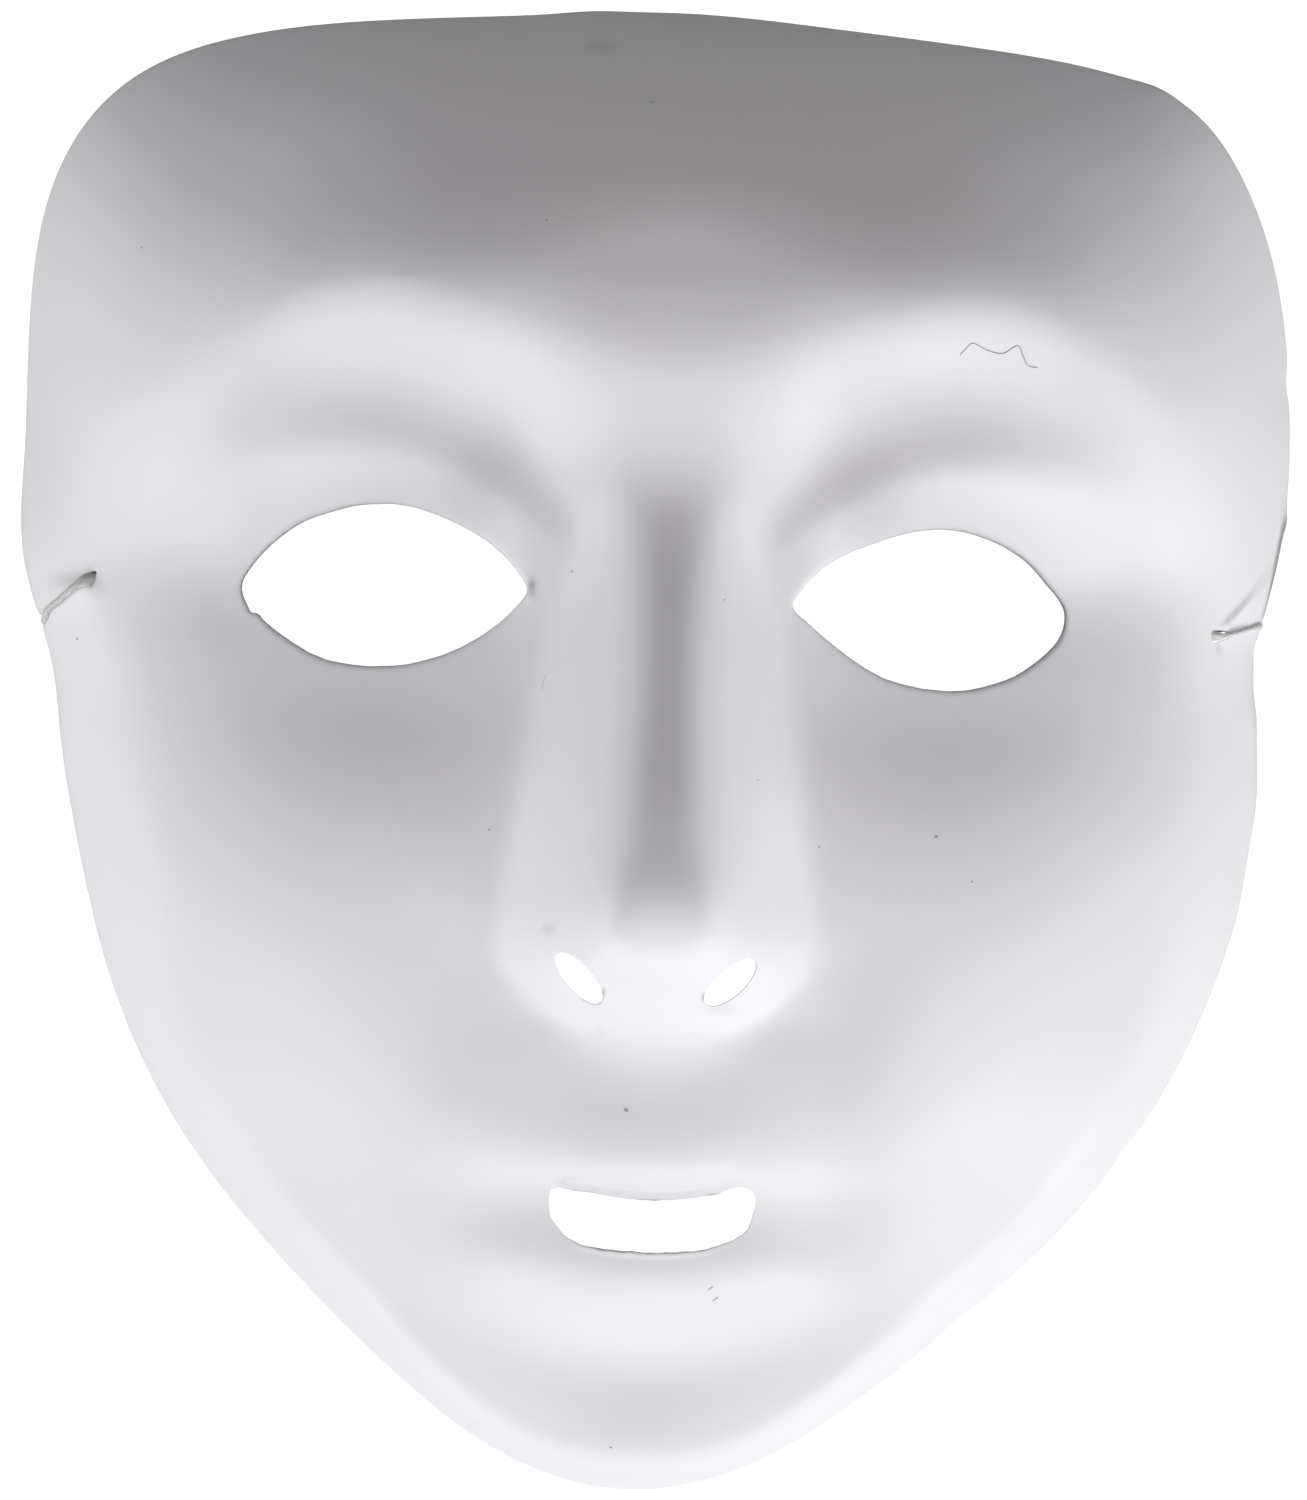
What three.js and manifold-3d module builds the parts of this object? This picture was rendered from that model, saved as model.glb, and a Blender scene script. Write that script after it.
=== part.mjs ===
// A blank white face mask, vacuum-formed from one thin plastic sheet, lying face up on its trimmed rim.
// Millimetres, +X to the right as seen from the front, +Y towards the forehead, +Z up to the nose.
import * as THREE from "three";
import { mergeVertices } from "three/addons/utils/BufferGeometryUtils.js";
import Module from "manifold-3d";

const wasm = await Module();
wasm.setup();

// Sheet and rim
const sheetThickness = 0.9;
const rimLiftAtForehead = 7.0;
const foreheadLiftFrom = 0.75;
const rimLiftAtElastic = 4.6;
const elasticRimAngles = [9, 170];
const elasticRimSpread = 26;

// The trimmed rim seen from the front: angle in degrees from +X, and radius
const rimOutline = [
  [0, 85.1], [10, 85.3], [20, 93.0], [30, 101.9], [40, 111.4], [46, 116.1], [52, 118.3], [58, 115.3],
  [66, 109.6], [78, 104.4], [90, 103.5], [102, 104.7], [113, 109.8], [122, 116.2], [130, 120.2],
  [138, 117.3], [147, 107.7], [156, 98.8], [165, 92.9], [173, 86.2], [180, 83.9], [190, 82.6],
  [205, 83.4], [222, 86.0], [238, 89.9], [250, 95.8], [260, 101.9], [270, 104.7], [280, 101.8],
  [290, 96.0], [302, 91.1], [318, 88.1], [340, 86.0],
];
const outlineOverlap = 5;

// Side wall that rises from the rim: its slope there, how quickly it leans inwards, the width of the round
// shoulder above it, and how far in it is measured. The blends are the sine of the direction from the middle
// of the face, up for the forehead and down for the jaw.
const wallSlope = { forehead: 2.8, side: 3.95, jaw: 6.6 };
const wallBend = { forehead: 0.012, side: 0.023, jaw: 0.031 };
const wallShoulder = { forehead: 33.3, side: 31, jaw: 20.5 };
const wallBlend = { forehead: [0.45, 0.95], jaw: [-0.1, 0.8] };
const wallReach = { forehead: 104, side: 86, jaw: 84, chin: 104 };
const reachBlend = { forehead: [0.5, 1], jaw: [0, 0.5], chin: [0.85, 1] };
const rimSettleFrom = 0.6;
const justInsideRim = 0.985;

// The face without its features: height along the middle line (y, z) and the roundness across
const middleLine = [
  [-112, 14.6], [-95, 24.7], [-80, 30.6], [-64, 36.7], [-48, 41.7], [-30, 43.8], [-10, 44.6], [12, 44.2],
  [30, 46.8], [44, 50.7], [56, 52.4], [72, 49.7], [90, 42], [112, 36.2],
];
const crossRadius = 122;

// The nose: height above the face (y, height) and half width of its foot (y, half width)
const noseRise = [
  [-70, 0], [-55, 0.9], [-46, 1], [-41, 0.9], [-37.5, 2.4], [-33, 10.5], [-28.5, 22.1], [-24.5, 25.4],
  [-20.5, 26.1], [-14, 24.8], [0, 19.7], [20, 11.3], [34, 3.7], [40, 1.5], [48, 0], [60, 0], [80, 0],
];
const noseHalfWidth = [
  [-60, 17], [-42, 21.5], [-36, 21], [-28, 26], [-20, 25.6], [-5, 24], [20, 19.1], [40, 16.4], [60, 16.6],
];
const noseCrown = 2.6;
const noseFlank = 4.6;

// Brows and eyes, the same on both sides
const brow = { x: 41, y: 54.9, arch: 8.3, archWidth: 20, fall: 9.8, fallFrom: 50, fallTo: 78 };
const browRidge = {
  base: 2.1, extra: 4.2, x: 48.3, across: 26.7, above: 20.6, below: 10.3, fadeFrom: 91.4, fadeTo: 52,
};
const eyeHollow = { x: 34.9, y: 23.2, depth: 5.6, towardNose: 20.2, towardTemple: 40, tall: 11.4 };
const eyelid = {
  x: 43.3, y: 38.2, height: 2.7, above: 5.8, below: 12, bendIn: 0.014, bendOut: 0.006,
  from: 9, full: 22, fade: 40, to: 66,
};

// Soft swells and hollows, the same on both sides
const sideSwells = {
  noseWing: { x: 9, y: -24, height: 3, across: 4.5, above: 15.2, below: 5.6 },
  cheek: { x: 53.5, y: -17.2, height: 3.8, across: 25.7, above: 22.4, below: 22.4 },
  mouthCorner: { x: 24.2, y: -65.1, height: -1.55, across: 9.8, above: 8.6, below: 8.6 },
  temple: { x: 68.3, y: 33.8, height: 3.4, across: 16.6, above: 18.5, below: 18.5 },
  besideNoseFoot: { x: 25.9, y: -33.5, height: -1.7, across: 7, above: 16.2, below: 16.2 },
  besideNoseRoot: { x: 21.5, y: 37.2, height: -3.3, across: 8, above: 13.9, below: 13.9 },
  foreheadSide: { x: 51.3, y: 75.8, height: -1.9, across: 16.3, above: 12.2, below: 12.2 },
  underEye: { x: 38.4, y: 6.3, height: -1.45, across: 19.7, above: 8.1, below: 8.1 },
  jaw: { x: 49.8, y: -59.1, height: -2.2, across: 19.1, above: 18, below: 18 },
};

// Soft swells and hollows on the middle line
const middleSwells = {
  upperLip: { x: 0, y: -55.8, height: 2.9, across: 17.7, above: 8.7, below: 2.9 },
  philtrum: { x: 0, y: -43.4, height: -0.7, across: 9.5, above: 6.9, below: 6.9 },
  chin: { x: 0, y: -97.9, height: 1.2, across: 17.8, above: 4.6, below: 4.6 },
  betweenBrows: { x: 0, y: 62.8, height: -2.2, across: 16.6, above: 11.6, below: 11.6 },
  noseTip: { x: 0, y: -24, height: 0.5, across: 9, above: 6.9, below: 6.9 },
  noseRoot: { x: 0, y: 38.5, height: -0.7, across: 9.6, above: 9, below: 9 },
};

// Lower lip and the crease under it
const lowerLip = { y: -72.2, height: 3.6, tall: 6.8, across: 22.5, smile: 0.006 };
const chinCrease = { y: -84.3, depth: 2, tall: 6.4 };

// Holes cut from the front: the eye's outline is a share of its half width and height, inner corner at -1
const eyeOutline = [
  [-1, 0], [-0.88, 0.33], [-0.68, 0.6], [-0.38, 0.83], [0, 1], [0.34, 0.94], [0.66, 0.68], [0.88, 0.34],
  [1, -0.03], [0.93, -0.36], [0.6, -0.81], [0.18, -1], [-0.25, -0.93], [-0.62, -0.67], [-0.84, -0.38],
];
const leftEye = { side: -1, x: -38.4, y: 20.9, halfWidth: 19.6, halfHeight: 10.9 };
const rightEye = { side: 1, x: 36.1, y: 20.5, halfWidth: 18.8, halfHeight: 10.7 };
const nostril = { x: 10.1, y: -30.5, length: 8.4, width: 3.5, tilt: 47 };
const mouthOutline = [
  [-12.6, -60.6], [-8.4, -60.6], [-3.2, -61], [1.2, -61.3], [5.8, -60.9], [10, -60.2], [13.8, -59.8],
  [14.8, -61.8], [13.6, -64.6], [10, -66.8], [3.6, -67.7], [-3.6, -67.5], [-9, -66.8], [-11.8, -64.2],
  [-13.2, -61.8],
];
const elasticHoleRadius = 1.6;
const leftElasticHole = [-79.2, 21.6];
const rightElasticHole = [76.8, 18];
const nostrilPointCount = 10;
const cutterBottom = 8;
const cutterTop = 90;
const cutterStepsPerPoint = 2;
const elasticCutterReach = 4;
const elasticCutterSides = 12;

// Braided elastic, 2 mm, knotted inside each side
const elasticRadius = 1.0;
const elasticGap = 0.35;
const knotRadius = 2.5;
const knotSides = [10, 6];
const elasticSides = 8;
const leftRimPoint = 169.8;
const rightRimPoint = 13.4;
const floorClearance = 0.15;

// Route of each loop: share of the way from its hole to the rim with the distance off the front, then the
// turn under the rim as distances outward and upward from it, then the way back inside to the knot
const overFront = [[0, -0.45], [0.06, 0.9], [0.22, 1.7], [0.45, 1.35], [0.75, 1.35]];
const underRim = [[1.6, 1.2], [1.2, -0.8], [-0.45, -1.6], [-2.3, -0.9], [-3.3, 1]];
const backInside = [[0.76, -3.3], [0.5, -2.9]];

// Route of the free length over the table, from the left knot to the right one
const freeRun = [
  [-75, 14.5, 3], [-74, 8, 0.4], [-71.5, -6, 0], [-66, -24, 0], [-57, -40, 0], [-44, -50, 0], [-31, -48, 0],
  [-24, -36, 0], [-21, -22, 0], [-15, -11, 0], [-5, -6, 0], [6, -6, 0], [16, -11, 0], [21.5, -22, 0],
  [24, -36, 0], [31, -48, 0], [43, -50, 0], [55, -40, 0], [63.5, -24, 0], [69, -8, 0], [72, 4, 0.4],
  [73, 10.5, 3],
];
const freeRunSteps = 56;
const loopSteps = 34;

// Mesh density of the shell
const spokes = 84;
const innerRings = 5;
const rings = 22;
const ringCrowding = 1.25;
const meshPole = [0, -18];
const slopeStep = 0.2;
const weldDistance = 1e-4;

const fullTurn = 360;
const degree = Math.PI / 180;

// A natural cubic curve through named points, as a function of the first number
function cubicCurve(points) {
  const n = points.length;
  const xs = points.map((p) => p[0]);
  const ys = points.map((p) => p[1]);
  const bends = new Array(n).fill(0);
  const carry = new Array(n).fill(0);
  for (let i = 1; i < n - 1; i += 1) {
    const before = xs[i] - xs[i - 1];
    const after = xs[i + 1] - xs[i];
    const pivot = 2 * (before + after) - before * carry[i - 1];
    const load = 6 * ((ys[i + 1] - ys[i]) / after - (ys[i] - ys[i - 1]) / before);
    carry[i] = after / pivot;
    bends[i] = (load - before * bends[i - 1]) / pivot;
  }
  for (let i = n - 2; i > 0; i -= 1) {
    bends[i] -= carry[i] * bends[i + 1];
  }
  return (x) => {
    const q = Math.min(Math.max(x, xs[0]), xs[n - 1]);
    let i = 0;
    while (i < n - 2 && q > xs[i + 1]) {
      i += 1;
    }
    const span = xs[i + 1] - xs[i];
    const a = (xs[i + 1] - q) / span;
    const b = 1 - a;
    const bend = (a ** 3 - a) * bends[i] + (b ** 3 - b) * bends[i + 1];
    return a * ys[i] + b * ys[i + 1] + (bend * span * span) / 6;
  };
}

// A smooth hump of height 1 at 0
function hump(x, width) {
  return Math.exp(-((x / width) ** 2));
}

// A hump whose two sides have their own widths
function leaningHump(x, above, below) {
  return hump(x, x > 0 ? above : below);
}

// The lower of two heights, with a round join of the given width
function roundedMin(a, b, width) {
  const h = Math.max(width - Math.abs(a - b), 0) / width;
  return Math.min(a, b) - (h ** 3 * width) / 6;
}

// A smooth step from 0 to 1 between two values, which may also run downwards
function smooth(x, from, to) {
  return from < to ? THREE.MathUtils.smoothstep(x, from, to) : 1 - THREE.MathUtils.smoothstep(x, to, from);
}

const outlineCurve = cubicCurve([
  ...rimOutline.slice(-outlineOverlap).map(([a, r]) => [a - fullTurn, r]),
  ...rimOutline,
  ...rimOutline.slice(0, outlineOverlap).map(([a, r]) => [a + fullTurn, r]),
]);
const middleHeight = cubicCurve(middleLine);
const noseHeight = cubicCurve(noseRise);
const noseWidth = cubicCurve(noseHalfWidth);

// Degrees from 0 to 360 for an angle in radians
function turnOf(angle) {
  return THREE.MathUtils.euclideanModulo(angle / degree, fullTurn);
}

// The shorter way round between two turns
function turnBetween(a, b) {
  const apart = Math.abs(a - b) % fullTurn;
  return Math.min(apart, fullTurn - apart);
}

function rimRadius(angle) {
  return outlineCurve(turnOf(angle));
}

// The rim lies on the table but for the forehead and the two places where the elastic goes round it
function rimHeight(angle) {
  const turn = turnOf(angle);
  const forehead = rimLiftAtForehead * smooth(Math.sin(angle), foreheadLiftFrom, 1);
  const apart = elasticRimAngles.map((at) => turnBetween(turn, at));
  return forehead + rimLiftAtElastic * smooth(Math.min(...apart), elasticRimSpread, 0);
}

// Brow ridge, eye hollow and upper lid, where ax is the distance from the middle line
function browAndEye(ax, y) {
  const browLine = brow.y + brow.arch * hump(ax - brow.x, brow.archWidth)
    - brow.fall * smooth(ax, brow.fallFrom, brow.fallTo);
  const ridge = smooth(ax, browRidge.fadeFrom, browRidge.fadeTo)
    * leaningHump(y - browLine, browRidge.above, browRidge.below)
    * (browRidge.base + browRidge.extra * hump(ax - browRidge.x, browRidge.across));
  const hollowWidth = ax < eyeHollow.x ? eyeHollow.towardNose : eyeHollow.towardTemple;
  const hollow = eyeHollow.depth * hump(ax - eyeHollow.x, hollowWidth)
    * hump(y - eyeHollow.y, eyeHollow.tall);
  const off = ax - eyelid.x;
  const lidLine = eyelid.y - (off < 0 ? eyelid.bendIn : eyelid.bendOut) * off * off;
  const lid = eyelid.height * leaningHump(y - lidLine, eyelid.above, eyelid.below)
    * smooth(ax, eyelid.from, eyelid.full) * smooth(ax, eyelid.to, eyelid.fade);
  return ridge + lid - hollow;
}

function nose(ax, y) {
  const across = Math.min(ax / noseWidth(y), 1);
  return Math.max(noseHeight(y), 0) * (1 - across ** noseCrown) ** noseFlank;
}

// Lower lip and crease, both bent up at their ends
function lowerMouth(x, y) {
  const lifted = y - lowerLip.smile * x * x;
  const lip = lowerLip.height * hump(lifted - lowerLip.y, lowerLip.tall);
  const crease = chinCrease.depth * hump(lifted - chinCrease.y, chinCrease.tall);
  return (lip - crease) * hump(x, lowerLip.across);
}

// Height that all swells of one set add, and less than nothing in a hollow
function swelling(swells, x, y) {
  return Object.values(swells).reduce((sum, size) => {
    const lengthwise = leaningHump(y - size.y, size.above, size.below);
    return sum + size.height * hump(x - size.x, size.across) * lengthwise;
  }, 0);
}

// The face and its wall, joined by a round shoulder
function formedSheet(x, y, angle, inset) {
  const up = Math.sin(angle);
  const top = smooth(up, ...wallBlend.forehead);
  const low = smooth(-up, ...wallBlend.jaw);
  const between = ({ forehead, side, jaw }) => side + (forehead - side) * top + (jaw - side) * low;
  const lean = 1 + between(wallBend) * Math.max(inset, 0);
  const wall = rimHeight(angle) + (between(wallSlope) * inset) / lean;
  const ax = Math.abs(x);
  const plainFace = middleHeight(y) - (x * x) / (2 * crossRadius);
  const swells = swelling(sideSwells, ax, y) + swelling(middleSwells, x, y);
  const face = plainFace + browAndEye(ax, y) + nose(ax, y) + lowerMouth(x, y) + swells;
  return roundedMin(wall, face, between(wallShoulder));
}

// Height of the mask's front surface above the table
function frontHeight(x, y) {
  const angle = Math.atan2(y, x);
  const up = Math.sin(angle);
  const radius = rimRadius(angle);
  const share = Math.hypot(x, y) / radius;
  const reach = wallReach.side + (wallReach.forehead - wallReach.side) * smooth(up, ...reachBlend.forehead)
    + (wallReach.jaw - wallReach.side) * smooth(-up, ...reachBlend.jaw)
    + (wallReach.chin - wallReach.jaw) * smooth(-up, ...reachBlend.chin);
  const formed = formedSheet(x, y, angle, (1 - share) * reach);
  const atRim = formedSheet(radius * Math.cos(angle), radius * Math.sin(angle), angle, 0);
  return formed - smooth(share, rimSettleFrom, 1) * (atRim - rimHeight(angle));
}

function frontNormal(x, y) {
  const dx = (frontHeight(x + slopeStep, y) - frontHeight(x - slopeStep, y)) / (2 * slopeStep);
  const dy = (frontHeight(x, y + slopeStep) - frontHeight(x, y - slopeStep)) / (2 * slopeStep);
  return new THREE.Vector3(-dx, -dy, 1).normalize();
}

// A point off the front surface along its normal, negative for inside the mask
function offFront(x, y, distance) {
  return new THREE.Vector3(x, y, frontHeight(x, y)).addScaledVector(frontNormal(x, y), distance);
}

function rimPoint(angle) {
  const radius = rimRadius(angle);
  return new THREE.Vector3(radius * Math.cos(angle), radius * Math.sin(angle), rimHeight(angle));
}

// The slope just inside the rim, where the surface is still the plain wall
function rimNormal(angle) {
  const edge = rimPoint(angle).multiplyScalar(justInsideRim);
  return frontNormal(edge.x, edge.y);
}

// Front and back points of one ring, from the pole (share 0) to the rim (share 1)
function ringPoints(share, count) {
  const front = [];
  const back = [];
  for (let i = 0; i < count; i += 1) {
    const angle = (2 * Math.PI * i) / count;
    if (share === 1) {
      const edge = rimPoint(angle);
      const normal = rimNormal(angle);
      const level = new THREE.Vector3(normal.x, normal.y, 0);
      front.push(edge);
      back.push(edge.clone().addScaledVector(level, -sheetThickness / level.lengthSq()));
    } else {
      const radius = rimRadius(angle) * share;
      const x = radius * Math.cos(angle) + meshPole[0] * (1 - share);
      const y = radius * Math.sin(angle) + meshPole[1] * (1 - share);
      front.push(offFront(x, y, 0));
      back.push(offFront(x, y, -sheetThickness));
    }
  }
  return { front, back };
}

// Triangles between two rings, where the outer one has the same number of points or twice as many
function bandFaces(innerStart, innerCount, outerStart, outerCount) {
  const faces = [];
  const ratio = outerCount / innerCount;
  for (let i = 0; i < innerCount; i += 1) {
    const next = (i + 1) % innerCount;
    const a = innerStart + i;
    const b = innerStart + next;
    const outer = [];
    for (let j = 0; j <= ratio; j += 1) {
      outer.push(outerStart + ((i * ratio + j) % outerCount));
    }
    if (ratio === 1) {
      faces.push([a, outer[0], outer[1]], [a, outer[1], b]);
    } else {
      faces.push([a, outer[0], outer[1]], [a, outer[1], b], [b, outer[1], outer[2]]);
    }
  }
  return faces;
}

function solidFrom(positions, faces) {
  return new wasm.Manifold(new wasm.Mesh({
    numProp: 3,
    vertProperties: new Float32Array(positions),
    triVerts: new Uint32Array(faces.flat()),
  }));
}

// The whole sheet as one closed solid, before its holes are cut
function sheetSolid() {
  const positions = [];
  const faces = [];
  const layers = { front: [], back: [] };
  const add = (point) => {
    positions.push(point.x, point.y, point.z);
    return positions.length / 3 - 1;
  };
  const poles = { front: add(offFront(...meshPole, 0)), back: add(offFront(...meshPole, -sheetThickness)) };
  for (let ring = 1; ring <= rings; ring += 1) {
    const share = ring === rings ? 1 : 1 - (1 - ring / rings) ** ringCrowding;
    const count = ring <= innerRings ? spokes / 2 : spokes;
    const points = ringPoints(share, count);
    for (const side of ["front", "back"]) {
      const start = positions.length / 3;
      points[side].forEach(add);
      layers[side].push({ start, count });
    }
  }
  for (const side of ["front", "back"]) {
    const sideFaces = [];
    const first = layers[side][0];
    for (let i = 0; i < first.count; i += 1) {
      sideFaces.push([poles[side], first.start + i, first.start + ((i + 1) % first.count)]);
    }
    for (let k = 0; k < rings - 1; k += 1) {
      const inner = layers[side][k];
      const outer = layers[side][k + 1];
      sideFaces.push(...bandFaces(inner.start, inner.count, outer.start, outer.count));
    }
    faces.push(...(side === "front" ? sideFaces : sideFaces.map(([a, b, c]) => [a, c, b])));
  }
  const rimFront = layers.front[rings - 1];
  const rimBack = layers.back[rings - 1];
  for (let i = 0; i < spokes; i += 1) {
    const next = (i + 1) % spokes;
    faces.push([rimFront.start + i, rimBack.start + next, rimFront.start + next]);
    faces.push([rimFront.start + i, rimBack.start + i, rimBack.start + next]);
  }
  return solidFrom(positions, faces);
}

// A closed three.js geometry as a solid
function geometrySolid(geometry) {
  const plain = geometry.clone();
  plain.deleteAttribute("normal");
  plain.deleteAttribute("uv");
  const merged = mergeVertices(plain, weldDistance);
  return new wasm.Manifold(new wasm.Mesh({
    numProp: 3,
    vertProperties: new Float32Array(merged.attributes.position.array),
    triVerts: new Uint32Array(merged.index.array),
  }));
}

// A straight cutter of the given outline that goes right through the sheet
function cutter(points) {
  const shape = new THREE.Shape();
  const curve = new THREE.CatmullRomCurve3(points.map(([x, y]) => new THREE.Vector3(x, y, 0)), true);
  const edge = curve.getPoints(points.length * cutterStepsPerPoint);
  shape.setFromPoints(edge.slice(0, -1).map((p) => new THREE.Vector2(p.x, p.y)));
  const geometry = new THREE.ExtrudeGeometry(shape, { depth: cutterTop - cutterBottom, bevelEnabled: false });
  geometry.translate(0, 0, cutterBottom);
  return geometrySolid(geometry);
}

function eyePoints(eye) {
  return eyeOutline.map(([u, v]) => [eye.x + eye.side * eye.halfWidth * u, eye.y + eye.halfHeight * v]);
}

// A long round hole whose lower end leans towards the middle of the face
function nostrilPoints(side) {
  return Array.from({ length: nostrilPointCount }, (unused, i) => {
    const turn = (2 * Math.PI * i) / nostrilPointCount;
    const along = (nostril.length / 2) * Math.cos(turn);
    const over = (nostril.width / 2) * Math.sin(turn);
    const tilt = nostril.tilt * degree;
    const x = along * Math.cos(tilt) - over * Math.sin(tilt);
    const y = along * Math.sin(tilt) + over * Math.cos(tilt);
    return [side * (nostril.x + x), nostril.y + y];
  });
}

function elasticCutter([x, y]) {
  const radius = elasticHoleRadius;
  const geometry = new THREE.CylinderGeometry(radius, radius, 2 * elasticCutterReach, elasticCutterSides);
  const normal = frontNormal(x, y);
  geometry.applyQuaternion(new THREE.Quaternion().setFromUnitVectors(new THREE.Vector3(0, 1, 0), normal));
  const centre = offFront(x, y, -sheetThickness / 2);
  geometry.translate(centre.x, centre.y, centre.z);
  return geometrySolid(geometry);
}

function maskShell() {
  let shell = sheetSolid();
  const cutters = [
    cutter(eyePoints(leftEye)),
    cutter(eyePoints(rightEye)),
    cutter(nostrilPoints(-1)),
    cutter(nostrilPoints(1)),
    cutter(mouthOutline),
    elasticCutter(leftElasticHole),
    elasticCutter(rightElasticHole),
  ];
  for (const tool of cutters) {
    shell = shell.subtract(tool);
  }
  return shell;
}

function meshGeometry(solid) {
  const mesh = solid.getMesh();
  const geometry = new THREE.BufferGeometry();
  geometry.setAttribute("position", new THREE.BufferAttribute(new Float32Array(mesh.vertProperties), 3));
  geometry.setIndex(new THREE.BufferAttribute(new Uint32Array(mesh.triVerts), 1));
  geometry.computeVertexNormals();
  return geometry;
}

// A round elastic along a route
function elasticTube(route, steps) {
  const section = new THREE.Shape();
  const corners = Array.from({ length: elasticSides }, (unused, i) => {
    const turn = (2 * Math.PI * i) / elasticSides;
    return new THREE.Vector2(elasticRadius * Math.cos(turn), elasticRadius * Math.sin(turn));
  });
  section.setFromPoints(corners);
  const extrudePath = new THREE.CatmullRomCurve3(route);
  return new THREE.ExtrudeGeometry(section, { steps, extrudePath, bevelEnabled: false });
}

// Middle of the knot, just inside the elastic's hole
function knotCentre([x, y]) {
  return offFront(x, y, -(sheetThickness + elasticGap + knotRadius));
}

// The loop goes from the knot out through its hole, over the front, under the rim and back to the knot
function elasticLoop(hole, rimDegrees) {
  const angle = rimDegrees * degree;
  const edge = rimPoint(angle);
  const offSheet = ([share, distance]) => {
    const x = THREE.MathUtils.lerp(hole[0], edge.x, share);
    const y = THREE.MathUtils.lerp(hole[1], edge.y, share);
    return offFront(x, y, distance);
  };
  const nearRim = ([outward, upward]) => {
    const step = new THREE.Vector3(outward * Math.cos(angle), outward * Math.sin(angle), upward);
    return edge.clone().add(step);
  };
  const knot = knotCentre(hole);
  const outside = [...overFront.map(offSheet), ...underRim.map(nearRim)];
  const route = [knot, ...outside, ...backInside.map(offSheet), knot.clone()];
  const ball = new THREE.SphereGeometry(knotRadius, ...knotSides);
  ball.translate(knot.x, knot.y, knot.z);
  return geometrySolid(elasticTube(route, loopSteps)).add(geometrySolid(ball));
}

// The free length between the knots, which falls to the table and lies there under the face
function freeElastic() {
  const leave = knotRadius + elasticGap;
  const left = knotCentre(leftElasticHole);
  const right = knotCentre(rightElasticHole);
  const lying = freeRun.map(([x, y, z]) => new THREE.Vector3(x, y, z + elasticRadius + floorClearance));
  const first = lying[0].clone().sub(left).normalize();
  const last = lying[lying.length - 1].clone().sub(right).normalize();
  const route = [left.addScaledVector(first, leave), ...lying, right.addScaledVector(last, leave)];
  return elasticTube(route, freeRunSteps);
}

const whitePlastic = new THREE.MeshStandardMaterial({ color: 0xe9e8ea, roughness: 0.5, metalness: 0 });
const whiteElastic = new THREE.MeshStandardMaterial({ color: 0xdedcd9, roughness: 0.9, metalness: 0 });

function named(name, geometry, material) {
  const mesh = new THREE.Mesh(geometry, material.clone());
  mesh.name = name;
  return mesh;
}

const group = new THREE.Group();
group.add(named("mask_shell", meshGeometry(maskShell()), whitePlastic));
const leftLoop = elasticLoop(leftElasticHole, leftRimPoint);
const rightLoop = elasticLoop(rightElasticHole, rightRimPoint);
group.add(named("elastic_loop_left", meshGeometry(leftLoop), whiteElastic));
group.add(named("elastic_loop_right", meshGeometry(rightLoop), whiteElastic));
group.add(named("elastic_cord", freeElastic(), whiteElastic));

// The origin is on the table under the middle of the mask
const shellBox = new THREE.Box3().setFromObject(group.children[0]);
group.position.set(-(shellBox.min.x + shellBox.max.x) / 2, -(shellBox.min.y + shellBox.max.y) / 2, 0);

export default group;
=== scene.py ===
"""Looks of a blank white face mask: one vacuum-formed sheet with a braided elastic, face up on a pale floor.

All sizes are in millimetres in the face frame (+X to the right as seen from the front, +Y to the forehead,
+Z up to the nose) and are put into the row frame in metres when a mesh is made.
"""

import logging
import math
from collections.abc import Sequence
from dataclasses import dataclass, field
from enum import Enum

import bpy
import numpy as np
from mathutils import Matrix, Vector
from mathutils.geometry import delaunay_2d_cdt


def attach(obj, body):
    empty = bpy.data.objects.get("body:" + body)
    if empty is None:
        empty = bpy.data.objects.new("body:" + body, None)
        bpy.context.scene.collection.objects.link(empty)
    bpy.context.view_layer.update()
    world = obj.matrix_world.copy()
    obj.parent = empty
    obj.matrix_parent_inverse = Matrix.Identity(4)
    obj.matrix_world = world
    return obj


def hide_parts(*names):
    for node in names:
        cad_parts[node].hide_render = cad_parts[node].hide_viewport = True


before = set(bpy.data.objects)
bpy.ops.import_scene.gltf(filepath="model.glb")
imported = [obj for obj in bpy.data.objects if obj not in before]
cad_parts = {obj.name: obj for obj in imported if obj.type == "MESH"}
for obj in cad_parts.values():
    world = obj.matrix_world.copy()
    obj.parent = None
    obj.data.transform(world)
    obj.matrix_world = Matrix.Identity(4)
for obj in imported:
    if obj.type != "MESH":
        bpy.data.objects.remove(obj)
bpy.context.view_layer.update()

LOG = logging.getLogger("blank_face_mask")
MM = 0.001
# Place of the face's middle in the row frame, across and up
FRAME_SHIFT = (1.014, 0.6)
SEED = 11
FULL_TURN = 360.0
# Points measured at once against an outline, to save memory
BATCH = 4000
# Points in each stretch of a smooth outline and of a smooth route
OUTLINE_SAMPLES = 24
ROUTE_SAMPLES = 40
Array = np.ndarray
Point = tuple[float, float]
Span = tuple[float, float]
Place = tuple[float, float, float]
Triple = tuple[float, float, float]
Colour = tuple[float, float, float, float]
Piece = bpy.types.Object
Material = bpy.types.Material
Group = bpy.types.NodeTree
Node = bpy.types.Node
Socket = bpy.types.NodeSocket
Inputs = dict[str | int, object]


class Side(Enum):
    """The two sides of the face as seen from the front."""

    LEFT = -1
    RIGHT = 1


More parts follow.
